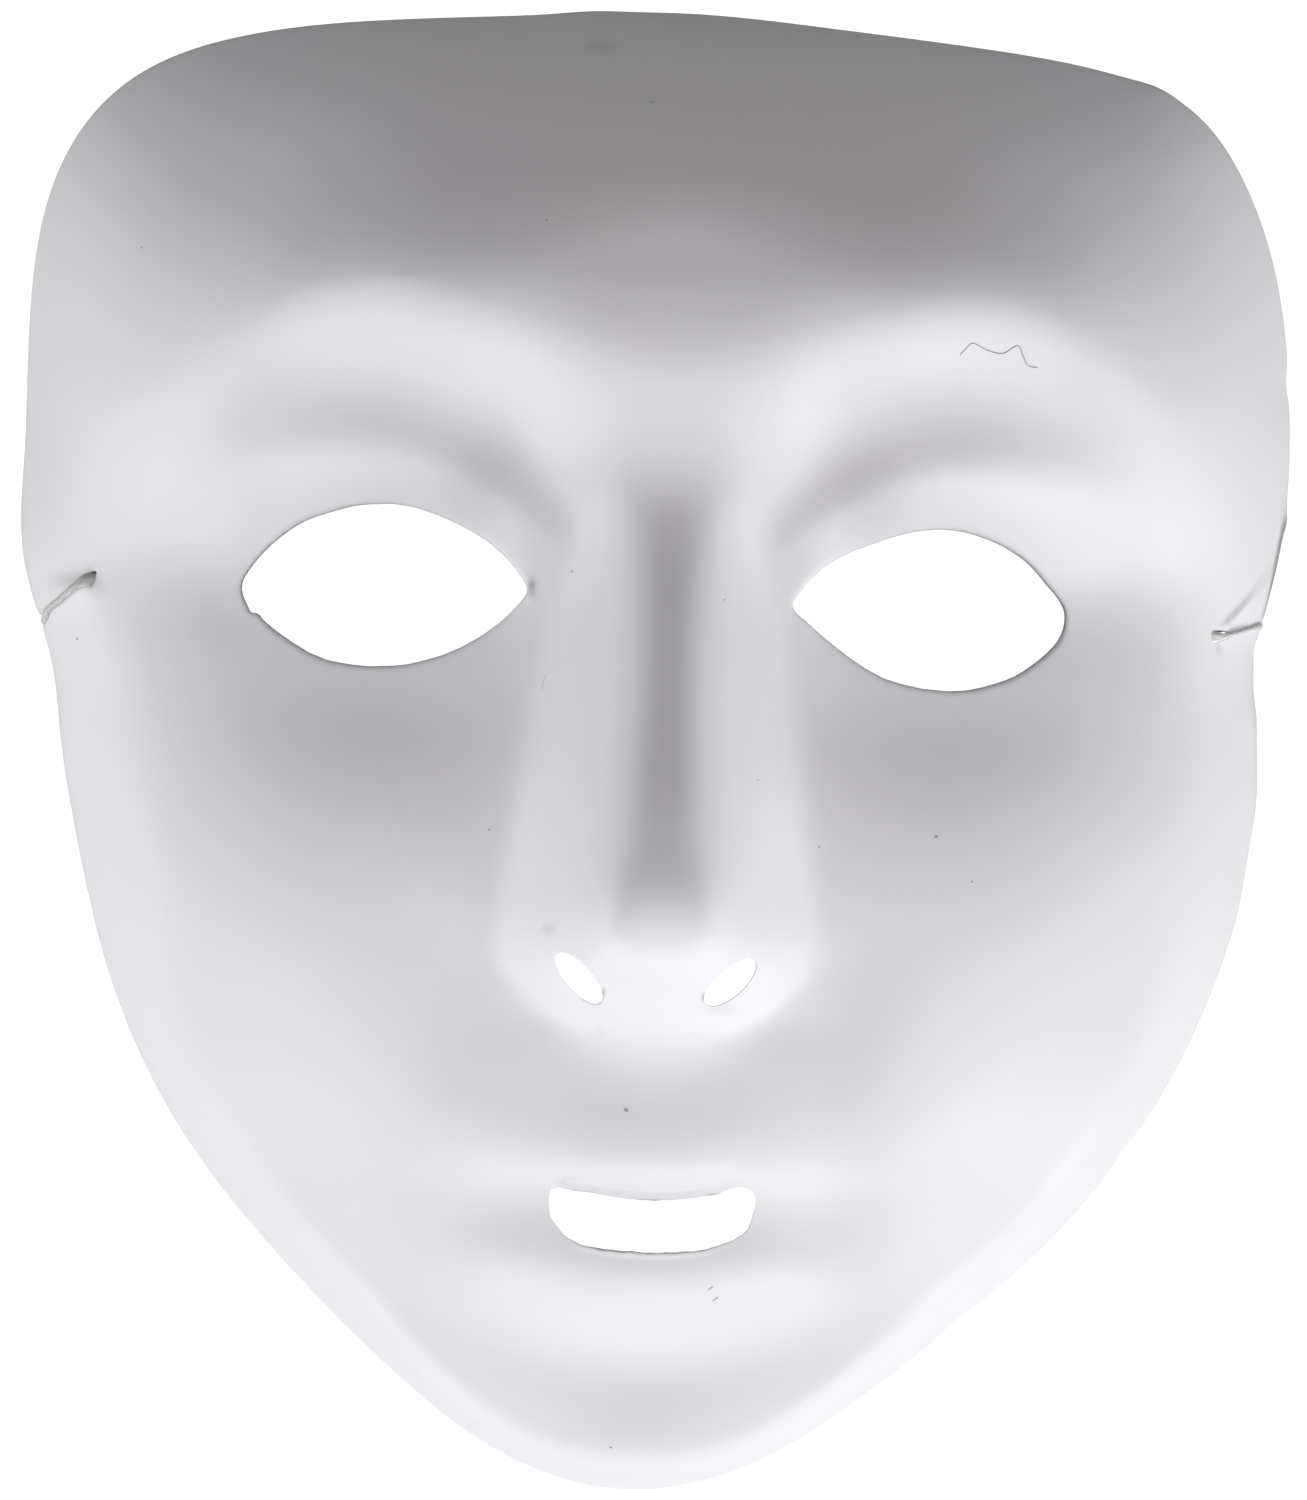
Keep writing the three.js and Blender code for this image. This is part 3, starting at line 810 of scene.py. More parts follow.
EYE_EDGE = {"spacing": 0.55, "roll": 0.7, "roll_depth": 0.45, "ragged": 0.03}
NOSTRIL_EDGE = {"spacing": 0.45, "roll": 0.5, "roll_depth": 0.3}
PUNCHED_EDGE = {"spacing": 0.3, "roll": 0.2, "roll_depth": 0.05, "rows": (0.15, 0.35, 0.7, 1.2)}
OPENINGS: tuple[Opening, ...] = (
    Opening(
        "left_eye",
        (
            (-19.0, 20.9), (-19.9, 22.9), (-22.6, 25.9), (-26.3, 28.5), (-31.0, 30.6), (-36.0, 31.9),
            (-41.0, 31.9), (-45.5, 30.9), (-50.0, 29.2), (-54.0, 26.2), (-56.6, 23.3), (-58.0, 20.6),
            (-57.2, 18.0), (-56.5, 16.9), (-55.6, 16.8), (-54.9, 16.0), (-51.2, 13.3), (-46.6, 11.0),
            (-41.2, 10.1), (-35.4, 10.4), (-29.3, 12.2), (-24.2, 15.2), (-20.6, 18.4),
        ),
        **EYE_EDGE,
    ),
    Opening(
        "right_eye",
        (
            (54.8, 18.6), (54.7, 21.4), (51.7, 25.0), (48.6, 27.8), (44.4, 29.9), (39.5, 31.1), (34.5, 31.0),
            (29.0, 29.4), (23.4, 27.0), (19.5, 24.0), (18.0, 22.0), (17.0, 20.4), (17.4, 19.3), (19.0, 18.0),
            (22.1, 15.5), (25.9, 12.9), (29.7, 10.9), (34.0, 9.8), (39.0, 9.4), (42.7, 9.9), (47.7, 11.6),
            (52.0, 14.6), (54.0, 16.8),
        ),
        **EYE_EDGE,
    ),
    Opening("left_nostril", ellipse((-10.2, -30.8), 8.9, 3.6, 132.0), **NOSTRIL_EDGE),
    Opening("right_nostril", ellipse((9.9, -30.6), 8.7, 4.2, 45.0), **NOSTRIL_EDGE),
    MouthOpening(
        "mouth_slot",
        (
            (-12.9, -60.3), (-12.8, -63.6), (-11.6, -65.4), (-9.7, -67.0), (-7.4, -67.7), (-4.7, -68.0),
            (-0.7, -68.2), (3.3, -68.1), (6.9, -67.8), (9.6, -67.2), (12.4, -66.1), (14.1, -64.7),
            (14.5, -63.1), (14.9, -61.4), (14.7, -59.8), (13.4, -58.9), (11.5, -59.2), (9.3, -60.1),
            (5.7, -60.7), (1.3, -61.1), (-2.3, -61.0), (-5.0, -60.7), (-8.1, -60.3), (-10.8, -60.0),
            (-12.2, -59.8),
        ),
        spacing=0.4, roll=0.5, roll_depth=0.3, ragged=0.06,
        rows=(0.12, 0.3, 0.5, 0.75, 1.0, 1.22, 1.35, 1.7, 2.2),
    ),
    Opening(
        "left_elastic_hole",
        (
            (-78.3, 21.9), (-78.5, 21.1), (-78.7, 20.2), (-79.0, 19.6), (-79.4, 19.6), (-80.0, 20.1),
            (-80.2, 20.8), (-79.8, 21.3), (-78.9, 21.9),
        ),
        **PUNCHED_EDGE,
    ),
    Opening(
        "right_elastic_hole",
        (
            (76.0, 19.1), (77.0, 19.3), (78.1, 19.2), (79.0, 18.7), (78.8, 18.3), (77.8, 18.0), (76.9, 17.6),
            (76.2, 17.7), (76.0, 18.3),
        ),
        **PUNCHED_EDGE,
    ),
)
# The start value of each side sets how much painted shade its strand's top gets; the side that faces the
# forehead is painted darker still.
LOOP_SIZES: dict[Side, dict[str, object]] = {
    Side.LEFT: {
        "hole": (-79.2, 21.6), "leaves_at": (-79.3, 20.8), "rim_degrees": 170.0,
        "painted_shade_start": 0.62, "sunk": 0.55,
        "girth": (
            (0, 0.8), (3.2, 1.15), (4.2, 1.2), (4.9, 0.8), (5.7, 0.5), (11.0, 0.47), (15.0, 0.38),
            (22.0, 0.7),
        ),
    },
    Side.RIGHT: {
        "hole": (76.8, 18.0), "leaves_at": (76.6, 18.4), "rim_degrees": 13.6,
        "painted_shade_start": 0.1, "sunk": 0.25,
        "girth": ((0, 0.8), (3.2, 0.8), (4.3, 0.62), (5.2, 0.42), (7.0, 0.34), (14.0, 0.32), (22.0, 0.7)),
    },
}


class NodeTree:
    """Short ways to place and wire shader nodes."""

    def __init__(self, tree: Group) -> None:
        """Keeps the tree that the nodes go into."""
        self.tree = tree

    def add(self, kind: str, inputs: Inputs | None = None, **settings: object) -> Node:
        """Adds a node.

        Args:
            kind: The node's type name.
            inputs: Values for its sockets. A socket as a value is linked.
            **settings: Values for the node's own settings.

        Returns:
            The new node.
        """
        node = self.tree.nodes.new(kind)
        for name, value in settings.items():
            setattr(node, name, value)
        for name, value in (inputs or {}).items():
            self.feed(node, name, value)
        return node

    def feed(self, node: Node, name: str | int, value: object) -> None:
        """Sets or links one socket of a node.

        Args:
            node: The node.
            name: The socket's name or number.
            value: Its value, or the socket that feeds it.
        """
        socket = node.inputs[name]
        if isinstance(value, Socket):
            self.tree.links.new(value, socket)
        else:
            socket.default_value = value

    def noise(self, scale: object, detail: object) -> Socket:
        """Noise over the piece's own coordinates."""
        place = self.add("ShaderNodeTexCoord").outputs["Object"]
        inputs = {"Vector": place, "Scale": scale, "Detail": detail}
        return self.add("ShaderNodeTexNoise", inputs).outputs["Fac"]

    def math(self, operation: str, first: object, second: object) -> Socket:
        """Result of a sum on two values."""
        return self.add("ShaderNodeMath", {0: first, 1: second}, operation=operation).outputs[0]

    def group(self, shared: Group, inputs: Inputs) -> Socket:
        """Output of a shared group with its inputs set."""
        return self.add("ShaderNodeGroup", inputs, node_tree=shared).outputs[0]

    def painted(self, name: str) -> Socket:
        """Value that is stored on the piece's points under a name."""
        return self.add("ShaderNodeAttribute", attribute_name=name).outputs["Fac"]

    def mix(self, share: Socket, low: object, high: object) -> Socket:
        """Colour between two colours by a share."""
        return self.add("ShaderNodeMix", {0: share, 6: low, 7: high}, data_type="RGBA").outputs[2]

    def between(self, share: Socket, low: float, high: float) -> Socket:
        """Number between two numbers by a share."""
        inputs = {"Value": share, "To Min": low, "To Max": high}
        return self.add("ShaderNodeMapRange", inputs).outputs["Result"]

    def bump(self, height: Socket, strength: float, depth: float) -> Socket:
        """Normal of a surface with a fine relief."""
        node = self.add("ShaderNodeBump", {"Height": height, "Strength": strength, "Distance": depth})
        return node.outputs["Normal"]


def shared_group(
    name: str, inputs: dict[str, float], output: str
) -> tuple[NodeTree, bpy.types.bpy_prop_collection, Node]:
    """Starts a shader node group of number sockets.

    Args:
        name: The group's name.
        inputs: Socket names with their default values.
        output: Name of its one output.

    Returns:
        The group's tree, the sockets that its inputs come out of, and its output node.
    """
    group = bpy.data.node_groups.new(name, "ShaderNodeTree")
    kind = "NodeSocketFloat"
    for label, default in inputs.items():
        group.interface.new_socket(name=label, in_out="INPUT", socket_type=kind).default_value = default
    group.interface.new_socket(name=output, in_out="OUTPUT", socket_type=kind)
    tree = NodeTree(group)
    return tree, tree.add("NodeGroupInput").outputs, tree.add("NodeGroupOutput")


def cloud_group() -> Group:
    """A slow cloudy mask, for colour and gloss that vary from place to place.

    Returns:
        The node group, with inputs Scale and Detail and the output Mask from 0 to 1.
    """
    low, high = 0.32, 0.68
    tree, given, sink = shared_group("slow_clouds", {"Scale": 20.0, "Detail": 3.0}, "Mask")
    noise = tree.noise(given["Scale"], given["Detail"])
    spread = tree.add("ShaderNodeMapRange", {"Value": noise, "From Min": low, "From Max": high}, clamp=True)
    tree.feed(sink, "Mask", spread.outputs["Result"])
    return tree.tree


def grain_group() -> Group:
    """The fine satin grain that a formed sheet takes from its mould.

    Returns:
        The node group, with inputs Scale and Coarse Share and the output Height.
    """
    coarse_scale, fine_detail, coarse_detail = 0.08, 2.0, 1.0
    tree, given, sink = shared_group("satin_grain", {"Scale": 2500.0, "Coarse Share": 0.5}, "Height")
    fine = tree.noise(given["Scale"], fine_detail)
    coarse = tree.noise(tree.math("MULTIPLY", given["Scale"], coarse_scale), coarse_detail)
    share = tree.math("MULTIPLY", coarse, given["Coarse Share"])
    tree.feed(sink, "Height", tree.math("ADD", fine, share))
    return tree.tree


def new_material(name: str) -> tuple[Material, NodeTree, Node]:
    """Starts a material.

    Args:
        name: The material's name.

    Returns:
        The material, its tree and its main shader.
    """
    material = bpy.data.materials.new(name)
    material.use_nodes = True
    return material, NodeTree(material.node_tree), material.node_tree.nodes["Principled BSDF"]


@dataclass(frozen=True)
class FormedPlastic:
    """White satin plastic sheet, a little cooler where it is clean and warmer where it has been handled, and
    darkened by stored dirt and painted shade.
    """

    name: str = "white_satin_plastic"
    clean: Colour = (0.83, 0.828, 0.865, 1.0)
    handled: Colour = (0.80, 0.792, 0.815, 1.0)
    dirt_and_shade_colour: Colour = (0.27, 0.265, 0.27, 1.0)
    mottle_scale: float = 14.0
    wipe_scale: float = 48.0
    wipe_detail: float = 5.0
    gloss_roughness: float = 0.44
    worn_roughness: float = 0.54
    grain_scale: float = 2600.0
    coarse_share: float = 0.6
    grain_strength: float = 0.05
    grain_depth: float = 0.0002

    def material(self, clouds: Group, grain: Group) -> Material:
        """Builds the sheet's material.

        Args:
            clouds: The slow cloudy mask group.
            grain: The satin grain group.

        Returns:
            The material.
        """
        material, tree, shader = new_material(self.name)
        colour = tree.mix(tree.group(clouds, {"Scale": self.mottle_scale}), self.clean, self.handled)
        # Darkens the sheet by the stored share: smudges of dirt and dark cut lines, and painted shade along
        # the rim and under the right nostril
        tree.feed(shader, "Base Color", tree.mix(tree.painted("dirt_and_shade"), colour, self.dirt_and_shade_colour))
        wipe = tree.group(clouds, {"Scale": self.wipe_scale, "Detail": self.wipe_detail})
        tree.feed(shader, "Roughness", tree.between(wipe, self.gloss_roughness, self.worn_roughness))
        relief = tree.group(grain, {"Scale": self.grain_scale, "Coarse Share": self.coarse_share})
        tree.feed(shader, "Normal", tree.bump(relief, self.grain_strength, self.grain_depth))
        return material


@dataclass(frozen=True)
class BraidedThread:
    """White elastic with a thread braid: bright on top of each strand, with painted grey shade in the gaps
    between them and on the side that faces the forehead.
    """

    name: str = "white_braided_elastic"
    thread: Colour = (0.86, 0.855, 0.86, 1.0)
    # Painted shade: the grey that fills the gaps between the white threads
    gap: Colour = (0.42, 0.41, 0.41, 1.0)
    wear_scale: float = 220.0
    roughness_low: float = 0.7
    roughness_high: float = 0.9
    fuzz_scale: float = 6000.0
    fuzz_strength: float = 0.3
    fuzz_depth: float = 0.00005

    def material(self, clouds: Group, grain: Group) -> Material:
        """Builds the elastic's material, which reads the braid's painted shade from the mesh: grey in the
        gaps and darker on the side that faces the forehead.

        Args:
            clouds: The slow cloudy mask group.
            grain: The grain group, used for the thread's fuzz.

        Returns:
            The material.
        """
        material, tree, shader = new_material(self.name)
        tree.feed(shader, "Base Color", tree.mix(tree.painted("painted_braid_shade"), self.gap, self.thread))
        wear = tree.group(clouds, {"Scale": self.wear_scale})
        tree.feed(shader, "Roughness", tree.between(wear, self.roughness_low, self.roughness_high))
        fuzz = tree.group(grain, {"Scale": self.fuzz_scale})
        tree.feed(shader, "Normal", tree.bump(fuzz, self.fuzz_strength, self.fuzz_depth))
        return material


@dataclass(frozen=True)
class DustFibre:
    """Dark lint and specks that lie on the sheet."""

    name: str = "dark_lint"
    light: Colour = (0.50, 0.49, 0.50, 1.0)
    dark: Colour = (0.24, 0.23, 0.24, 1.0)
    patch_scale: float = 400.0
    roughness: float = 0.9

    def material(self, clouds: Group) -> Material:
        """Builds the lint's material.

        Args:
            clouds: The slow cloudy mask group.

        Returns:
            The material.
        """
        material, tree, shader = new_material(self.name)
        patches = tree.group(clouds, {"Scale": self.patch_scale})
        tree.feed(shader, "Base Color", tree.mix(patches, self.light, self.dark))
        tree.feed(shader, "Roughness", self.roughness)
        return material


def make_active(piece: Piece) -> None:
    """Deselects everything and makes one object the active one."""
    bpy.ops.object.select_all(action="DESELECT")
    piece.select_set(True)
    bpy.context.view_layer.objects.active = piece


def make_object(name: str, points: Array, faces: list[list[int]]) -> Piece:
    """Makes a mesh object at the origin, with its place in its mesh.

    Args:
        name: The piece's name.
        points: N by 3 points in metres in the row frame.
        faces: Corner lists.

    Returns:
        The new object, selected and active, with its faces turned outwards.
    """
    mesh = bpy.data.meshes.new(name)
    mesh.from_pydata(points.tolist(), [], faces)
    mesh.update()
    piece = bpy.data.objects.new(name, mesh)
    bpy.context.scene.collection.objects.link(piece)
    make_active(piece)
    bpy.ops.object.mode_set(mode="EDIT")
    bpy.ops.mesh.select_all(action="SELECT")
    bpy.ops.mesh.normals_make_consistent(inside=False)
    bpy.ops.object.mode_set(mode="OBJECT")
    return piece


def read_points(piece: Piece) -> Array:
    """A piece's points in metres, N by 3."""
    place = np.zeros(len(piece.data.vertices) * 3)
    piece.data.vertices.foreach_get("co", place)
    return place.reshape(-1, 3)


def write_points(piece: Piece, place: Array) -> None:
    """Moves a piece's points to new places in metres."""
    piece.data.vertices.foreach_set("co", place.ravel())
    piece.data.update()


def paint(piece: Piece, name: str, values: Array) -> None:
    """Stores one value a point on a piece, for its material to read."""
    mark = piece.data.attributes.new(name, "FLOAT", "POINT")
    mark.data.foreach_set("value", values.ravel().astype(np.float32))


def apply_modifier(piece: Piece, kind: str, **settings: object) -> None:
    """Adds a modifier to a piece and applies it.

    Args:
        piece: The piece.
        kind: The modifier's type name.
        **settings: Values for the modifier's own settings.
    """
    make_active(piece)
    bpy.ops.object.modifier_add(type=kind)
    modifier = piece.modifiers[-1]
    for name, value in settings.items():
        setattr(modifier, name, value)
    bpy.ops.object.modifier_apply(modifier=modifier.name)


def dress(piece: Piece, material: Material, nodes: Sequence[str] = ()) -> None:
    """Gives a piece its material, its body and the nodes that it stands for.

    Args:
        piece: The finished piece.
        material: Its material.
        nodes: CAD nodes that the piece replaces.
    """
    piece.data.materials.clear()
    piece.data.materials.append(material)
    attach(piece, "root")
    if nodes:
        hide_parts(*nodes)


@dataclass(frozen=True)
class FillRegion:
    """A box of the flat blank and the distance between the mesh points in it."""

    box: tuple[float, float, float, float]
    pitch: float

    def grid(self) -> Array:
        """Points in staggered rows over the box."""
        left, low, right, high = self.box
        rows = np.arange(low, high, self.pitch * math.sqrt(3) / 2)
        spread = []
        for number, y in enumerate(rows):
            x = np.arange(left, right, self.pitch) + (number % 2) * self.pitch / 2
            spread.append(np.stack([x, np.full_like(x, y)], axis=1))
        return np.concatenate(spread)

    def holds(self, points: Array) -> Array:
        """Whether each point lies in the box."""
        left, low, right, high = self.box
        x, y = points[:, 0], points[:, 1]
        return (x > left) & (x < right) & (y > low) & (y < high)


@dataclass(frozen=True)
class DarkPatch:
    """A faint soft-edged dark patch painted on the sheet; the listed ones are smudges of dirt, dark lines
    along cut edges and one painted shade.
    """

    x: float
    y: float
    across: float
    tall: float
    strength: float

    def share(self, x: Array, y: Array) -> Array:
        """How dark each point is made, from 0 to the patch's strength."""
        return self.strength * hump(x - self.x, self.across) * hump(y - self.y, self.tall)


@dataclass(frozen=True)
class PaintedRimShade:
    """Painted shade along the cut edge: dark beside the right strand and faint round both sides."""

    middle: float = 19.2
    spread: float = 2.6
    strength: float = 1.2
    base: float = 0.4
    base_from: Span = (13.4, 14.4)
    base_to: Span = (22.6, 21.6)
    edge: Span = (1.2, 0.4)
    faint: float = 0.15
    faint_from: Span = (30.0, 70.0)
    faint_edge: Span = (0.5, 0.1)

    def share(self, x: Array, turn: Array, inset: Array) -> Array:
        """How much painted shade each point near the rim gets.

        Args:
            x: Its place across.
            turn: Its angle, degrees.
            inset: Its distance in from the rim.

        Returns:
            The shares of painted shade.
        """
        tight = self.strength * hump(turn - self.middle, self.spread)
        tight = tight + self.base * ease(turn, *self.base_from) * ease(turn, *self.base_to)
        faint = self.faint * ease(np.abs(x), *self.faint_from) * ease(inset, *self.faint_edge)
        return tight * ease(inset, *self.edge) + faint


@dataclass(frozen=True)
class CheekScuff(Relief):
    """The shallow scuff on the right cheek, which runs down and outwards."""

    x: float = 40.5
    y: float = -6.7
    run_x: float = 0.79
    run_y: float = -0.61
    depth: float = 0.1
    long: float = 7.0
    wide: float = 2.2

    def relief(self, x: Array, y: Array) -> Array:
        """Height that the scuff takes away at each point."""
        along = (x - self.x) * self.run_x + (y - self.y) * self.run_y
        over = (y - self.y) * self.run_x - (x - self.x) * self.run_y
        return -self.depth * hump(along, self.long) * hump(over, self.wide)


@dataclass(frozen=True)
class RaisedStrip(Relief):
    """The thin raised strip over the left eye."""

    x: float = -44.6
    y: float = 60.9
    slope: float = 0.08
    height: float = 0.06
    half_length: Span = (8.6, 7.0)
    wide: float = 1.1

    def relief(self, x: Array, y: Array) -> Array:
        """Height that the strip adds at each point."""
        off = x - self.x
        over = y - self.y - self.slope * off
        return self.height * ease(np.abs(off), *self.half_length) * hump(over, self.wide)


@dataclass
class MaskShell:
    """The formed sheet: a flat blank with its openings, pressed over the form and given its thickness."""

    form: FaceForm
    openings: tuple[Opening, ...] = OPENINGS
    rim_points: int = 720
    rim_rows: tuple[float, ...] = (0.4, 0.8, 1.3, 1.9, 2.6, 3.4, 4.3, 5.3, 6.4, 7.6, 9.0)
    fill_regions: tuple[FillRegion, ...] = (
        FillRegion((-95.0, -110.0, 95.0, 110.0), 1.25), FillRegion((-34.0, -50.0, 34.0, 62.0), 0.85),
        FillRegion((-88.0, 10.0, -73.0, 27.0), 0.5), FillRegion((74.0, 13.0, 90.0, 34.0), 0.32),
    )
    # Soft dark patches: dark lines along the mouth slot's edges and at the nostrils' ends, smudges of dirt on
    # the forehead and beside the nose, dark spots at the left eye's inner corner and by the right elastic
    # hole, and painted shade under the right nostril at (8.6, -34.4)
    dark_patches: tuple[DarkPatch, ...] = (
        DarkPatch(-8.1, -60.4, 0.8, 0.2, 0.7), DarkPatch(0.9, -61.1, 1.9, 0.2, 0.7), DarkPatch(9.2, -60.1, 0.7, 0.2, 0.7),
        DarkPatch(-5.6, -67.9, 0.7, 0.25, 0.8), DarkPatch(-11.4, 96.7, 2.0, 1.0, 0.25),
        DarkPatch(-7.0, -32.6, 0.25, 0.6, 0.9), DarkPatch(6.4, -32.7, 0.25, 0.6, 0.9),
        DarkPatch(13.1, -28.4, 0.3, 0.6, 0.7), DarkPatch(8.6, -34.4, 2.2, 0.7, 0.16),
        DarkPatch(-14.5, -24.4, 0.6, 0.55, 0.35), DarkPatch(-7.2, -37.9, 0.4, 0.4, 0.2),
        DarkPatch(-18.3, 21.6, 0.6, 0.9, 0.85), DarkPatch(-9.9, -58.3, 1.5, 0.2, 0.16),
        DarkPatch(-11.2, -58.9, 0.3, 0.5, 0.14), DarkPatch(77.2, 16.7, 0.4, 0.6, 0.2),
        DarkPatch(79.0, 20.3, 0.9, 0.5, 0.1),
    )
    edge_softness: float = 0.12
    handling: tuple[CheekScuff | RaisedStrip, ...] = (CheekScuff(), RaisedStrip())
    # Painted shade along the cut edge of the rim
    painted_shade: PaintedRimShade = PaintedRimShade()
    # Room between the evenly spread points and the rim, beside the strands and elsewhere
    strand_room: float = 1.2
    plain_room: float = 0.9
    join_within: float = 1e-5
    cut_margin: float = 3.0
    upright_span: Span = (2.6, 1.2)
    least_slant: float = 0.35
    rim_width: float = 0.02
    rim_level_at: float = 0.985
    bevel_sharpness: float = 48.0
    smooth_angle: float = 38.0

    def cut_lines(self) -> list[Array]:
        """The edges of all openings, each with its own seeded waver."""
        return [hole.cut_line(np.random.default_rng(SEED + i)) for i, hole in enumerate(self.openings)]

    def rim_line(self, inset: float) -> Array:
        """Follows the rim at a distance inside it.

        Args:
            inset: The distance.

        Returns:
            The line's points, N by 2.
        """
        angle = np.linspace(0, 2 * math.pi, self.rim_points, endpoint=False)
        radius = self.form.rim_radius(angle)
        line = np.stack([radius * np.cos(angle), radius * np.sin(angle)], axis=1)
        return line - inset * outline_normals(line) if inset else line

    def fill_points(self, lines: list[Array]) -> Array:
        """Spreads points over the plain parts of the sheet, closer together where the form is finer.

        Args:
            lines: The edges of the openings.

        Returns:
            The points, N by 2.
        """
        spread = []
        for number, region in enumerate(self.fill_regions):
            points = region.grid()
            for finer in self.fill_regions[number + 1 :]:
                points = points[~finer.holds(points)]
            spread.append(points)
        points = np.concatenate(spread)
        at_strand = np.any([region.holds(points) for region in self.fill_regions[2:]], axis=0)
        room = np.where(at_strand, self.strand_room, self.rim_rows[-1] + self.plain_room)
        points = points[self.form.inset(*points.T) > room]
        for hole, line in zip(self.openings, lines):
            points = points[~in_hole(points, line, hole.rows[-1] + hole.spacing)]
        return points

    def flat_blank(self, lines: list[Array]) -> tuple[Array, list[list[int]]]:
        """The flat sheet with its holes, as points and triangles.

        No primitive follows the rim and the cut lines, so the blank is triangulated between them, with rows
        of points along every edge so that the edges can be rolled.

        Args:
            lines: The edges of the openings.

        Returns:
            The points, N by 2 in millimetres, and the triangles.
        """
        loops = [self.rim_line(inset) for inset in (0.0, *self.rim_rows)]
        for hole, line in zip(self.openings, lines):
            loops += [line, *hole.edge_rows(line)]
        fixed: list[tuple[int, int]] = []
        start = 0
        for loop in loops:
            count = len(loop)
            fixed.extend((start + i, start + (i + 1) % count) for i in range(count))
            start += count
        flat = [Vector(p) for p in np.concatenate([*loops, self.fill_points(lines)]).tolist()]
        corners, _, faces, *_ = delaunay_2d_cdt(flat, fixed, [], 0, self.join_within, False)
        place = np.array([(v.x, v.y) for v in corners])
        triangles = np.array([f for f in faces if len(f) == 3])
        centre = place[triangles].mean(1)
        _, keep = outline_distance(*centre.T, loops[0])
        for line in lines:
            keep &= ~in_hole(centre, line)
        used, renumbered = np.unique(triangles[keep], return_inverse=True)
        return place[used], renumbered.reshape(-1, 3).tolist()

    def press(self, flat: Array, lines: list[Array]) -> Array:
        """Presses the flat blank over the form.

        Args:
            flat: Points of the blank.
            lines: The edges of the openings.

        Returns:
            The points in space, millimetres.
        """
        x, y = flat.T
        z = self.form.height(x, y)
        for hole, line in zip(self.openings, lines):
            near = in_box(flat, line, self.cut_margin)
            z[near] += hole.relief(x[near], y[near], line)
        z += sum(mark.relief(x, y) for mark in self.handling)
        return np.stack([*self.form.dented(x, y), z], axis=1)

    def paint_dirt_and_shade(self, shell: Piece) -> None:
        """Stores how much dirt and painted shade darken each point, for the material to read.

        Args:
            shell: The finished shell.
        """
        x, y, _ = from_row(read_points(shell)).T
        turn = np.degrees(np.arctan2(y, x))
        dirt_and_shade = sum(stain.share(x, y) for stain in self.dark_patches)
        dirt_and_shade = dirt_and_shade + self.painted_shade.share(x, turn, self.form.inset(x, y))
        paint(shell, "dirt_and_shade", np.clip(dirt_and_shade, 0.0, 1.0))

    def build(self, material: Material) -> Piece:
        """Builds the whole shell.

        Args:
            material: The sheet's material.

        Returns:
            The finished piece.
        """
        lines = self.cut_lines()
        flat, triangles = self.flat_blank(lines)
        shell = make_object("formed_face_sheet", to_row(self.press(flat, lines)), triangles)
        if shell.data.polygons[0].normal.z < 0:
            shell.data.flip_normals()
        apply_modifier(
            shell, "SOLIDIFY", thickness=self.form.sheet * MM, offset=-1.0, use_even_offset=True, use_rim=True
        )
        self.trim_rim(shell, flat)
        self.straighten_cuts(shell, flat, lines)
        self.soften_edges(shell)
        bpy.ops.object.shade_smooth_by_angle(angle=math.radians(self.smooth_angle))
        self.paint_dirt_and_shade(shell)
        dress(shell, material, ["mask_shell"])
        return shell

    def trim_rim(self, shell: Piece, flat: Array) -> None:
        """Trims the back layer level with the rim, so that the mask lies flat on its cut edge.

        Args:
            shell: The shell with its thickness, whose front layer's points come first.
            flat: The same points in the flat blank.
        """
        place = read_points(shell)
        at = np.where(self.form.inset(*flat.T) < self.rim_width)[0]
        level = self.form.normal(*(self.rim_level_at * flat[at]).T)[:, :2]
        back = from_row(place[at])
        back[:, :2] -= level * (self.form.sheet / (level**2).sum(1))[:, None]
        place[len(flat) + at] = to_row(back)
        write_points(shell, place)

    def straighten_cuts(self, shell: Piece, flat: Array, lines: list[Array]) -> None:
        """Makes the walls of the openings upright, as a knife that comes straight from the front leaves them.

        Args:
            shell: The shell with its thickness, whose front layer's points come first.
            flat: The same points in the flat blank.
            lines: The edges of the openings.
        """
        place = read_points(shell)
        front = place[: len(flat)]
        through = place[len(flat) : 2 * len(flat)] - front
        for line in lines:
            near = np.where(in_box(flat, line, self.cut_margin))[0]
            distance, _ = outline_distance(*flat[near].T, line)
            upright = ease(distance, *self.upright_span)[:, None]
            length = np.linalg.norm(through[near], axis=1)
            slant = np.clip(-through[near, 2] / length, self.least_slant, 1.0)
            down = np.stack([0 * length, 0 * length, -length / slant], axis=1)
            through[near] += upright * (down - through[near])
        place[len(flat) : 2 * len(flat)] = front + through
        write_points(shell, place)

    def soften_edges(self, shell: Piece) -> None:
        """Bevels every cut edge a little, as a trimmed sheet has.

        Args:
            shell: The shell with its thickness and its straightened cuts.
        """
        make_active(shell)
        bpy.ops.object.mode_set(mode="EDIT")
        bpy.ops.mesh.select_mode(type="EDGE")
        bpy.ops.mesh.select_all(action="DESELECT")
        bpy.ops.mesh.edges_select_sharp(sharpness=math.radians(self.bevel_sharpness))
        bpy.ops.mesh.bevel(offset=self.edge_softness * MM, segments=2, profile=0.5, clamp_overlap=True)
        bpy.ops.object.mode_set(mode="OBJECT")


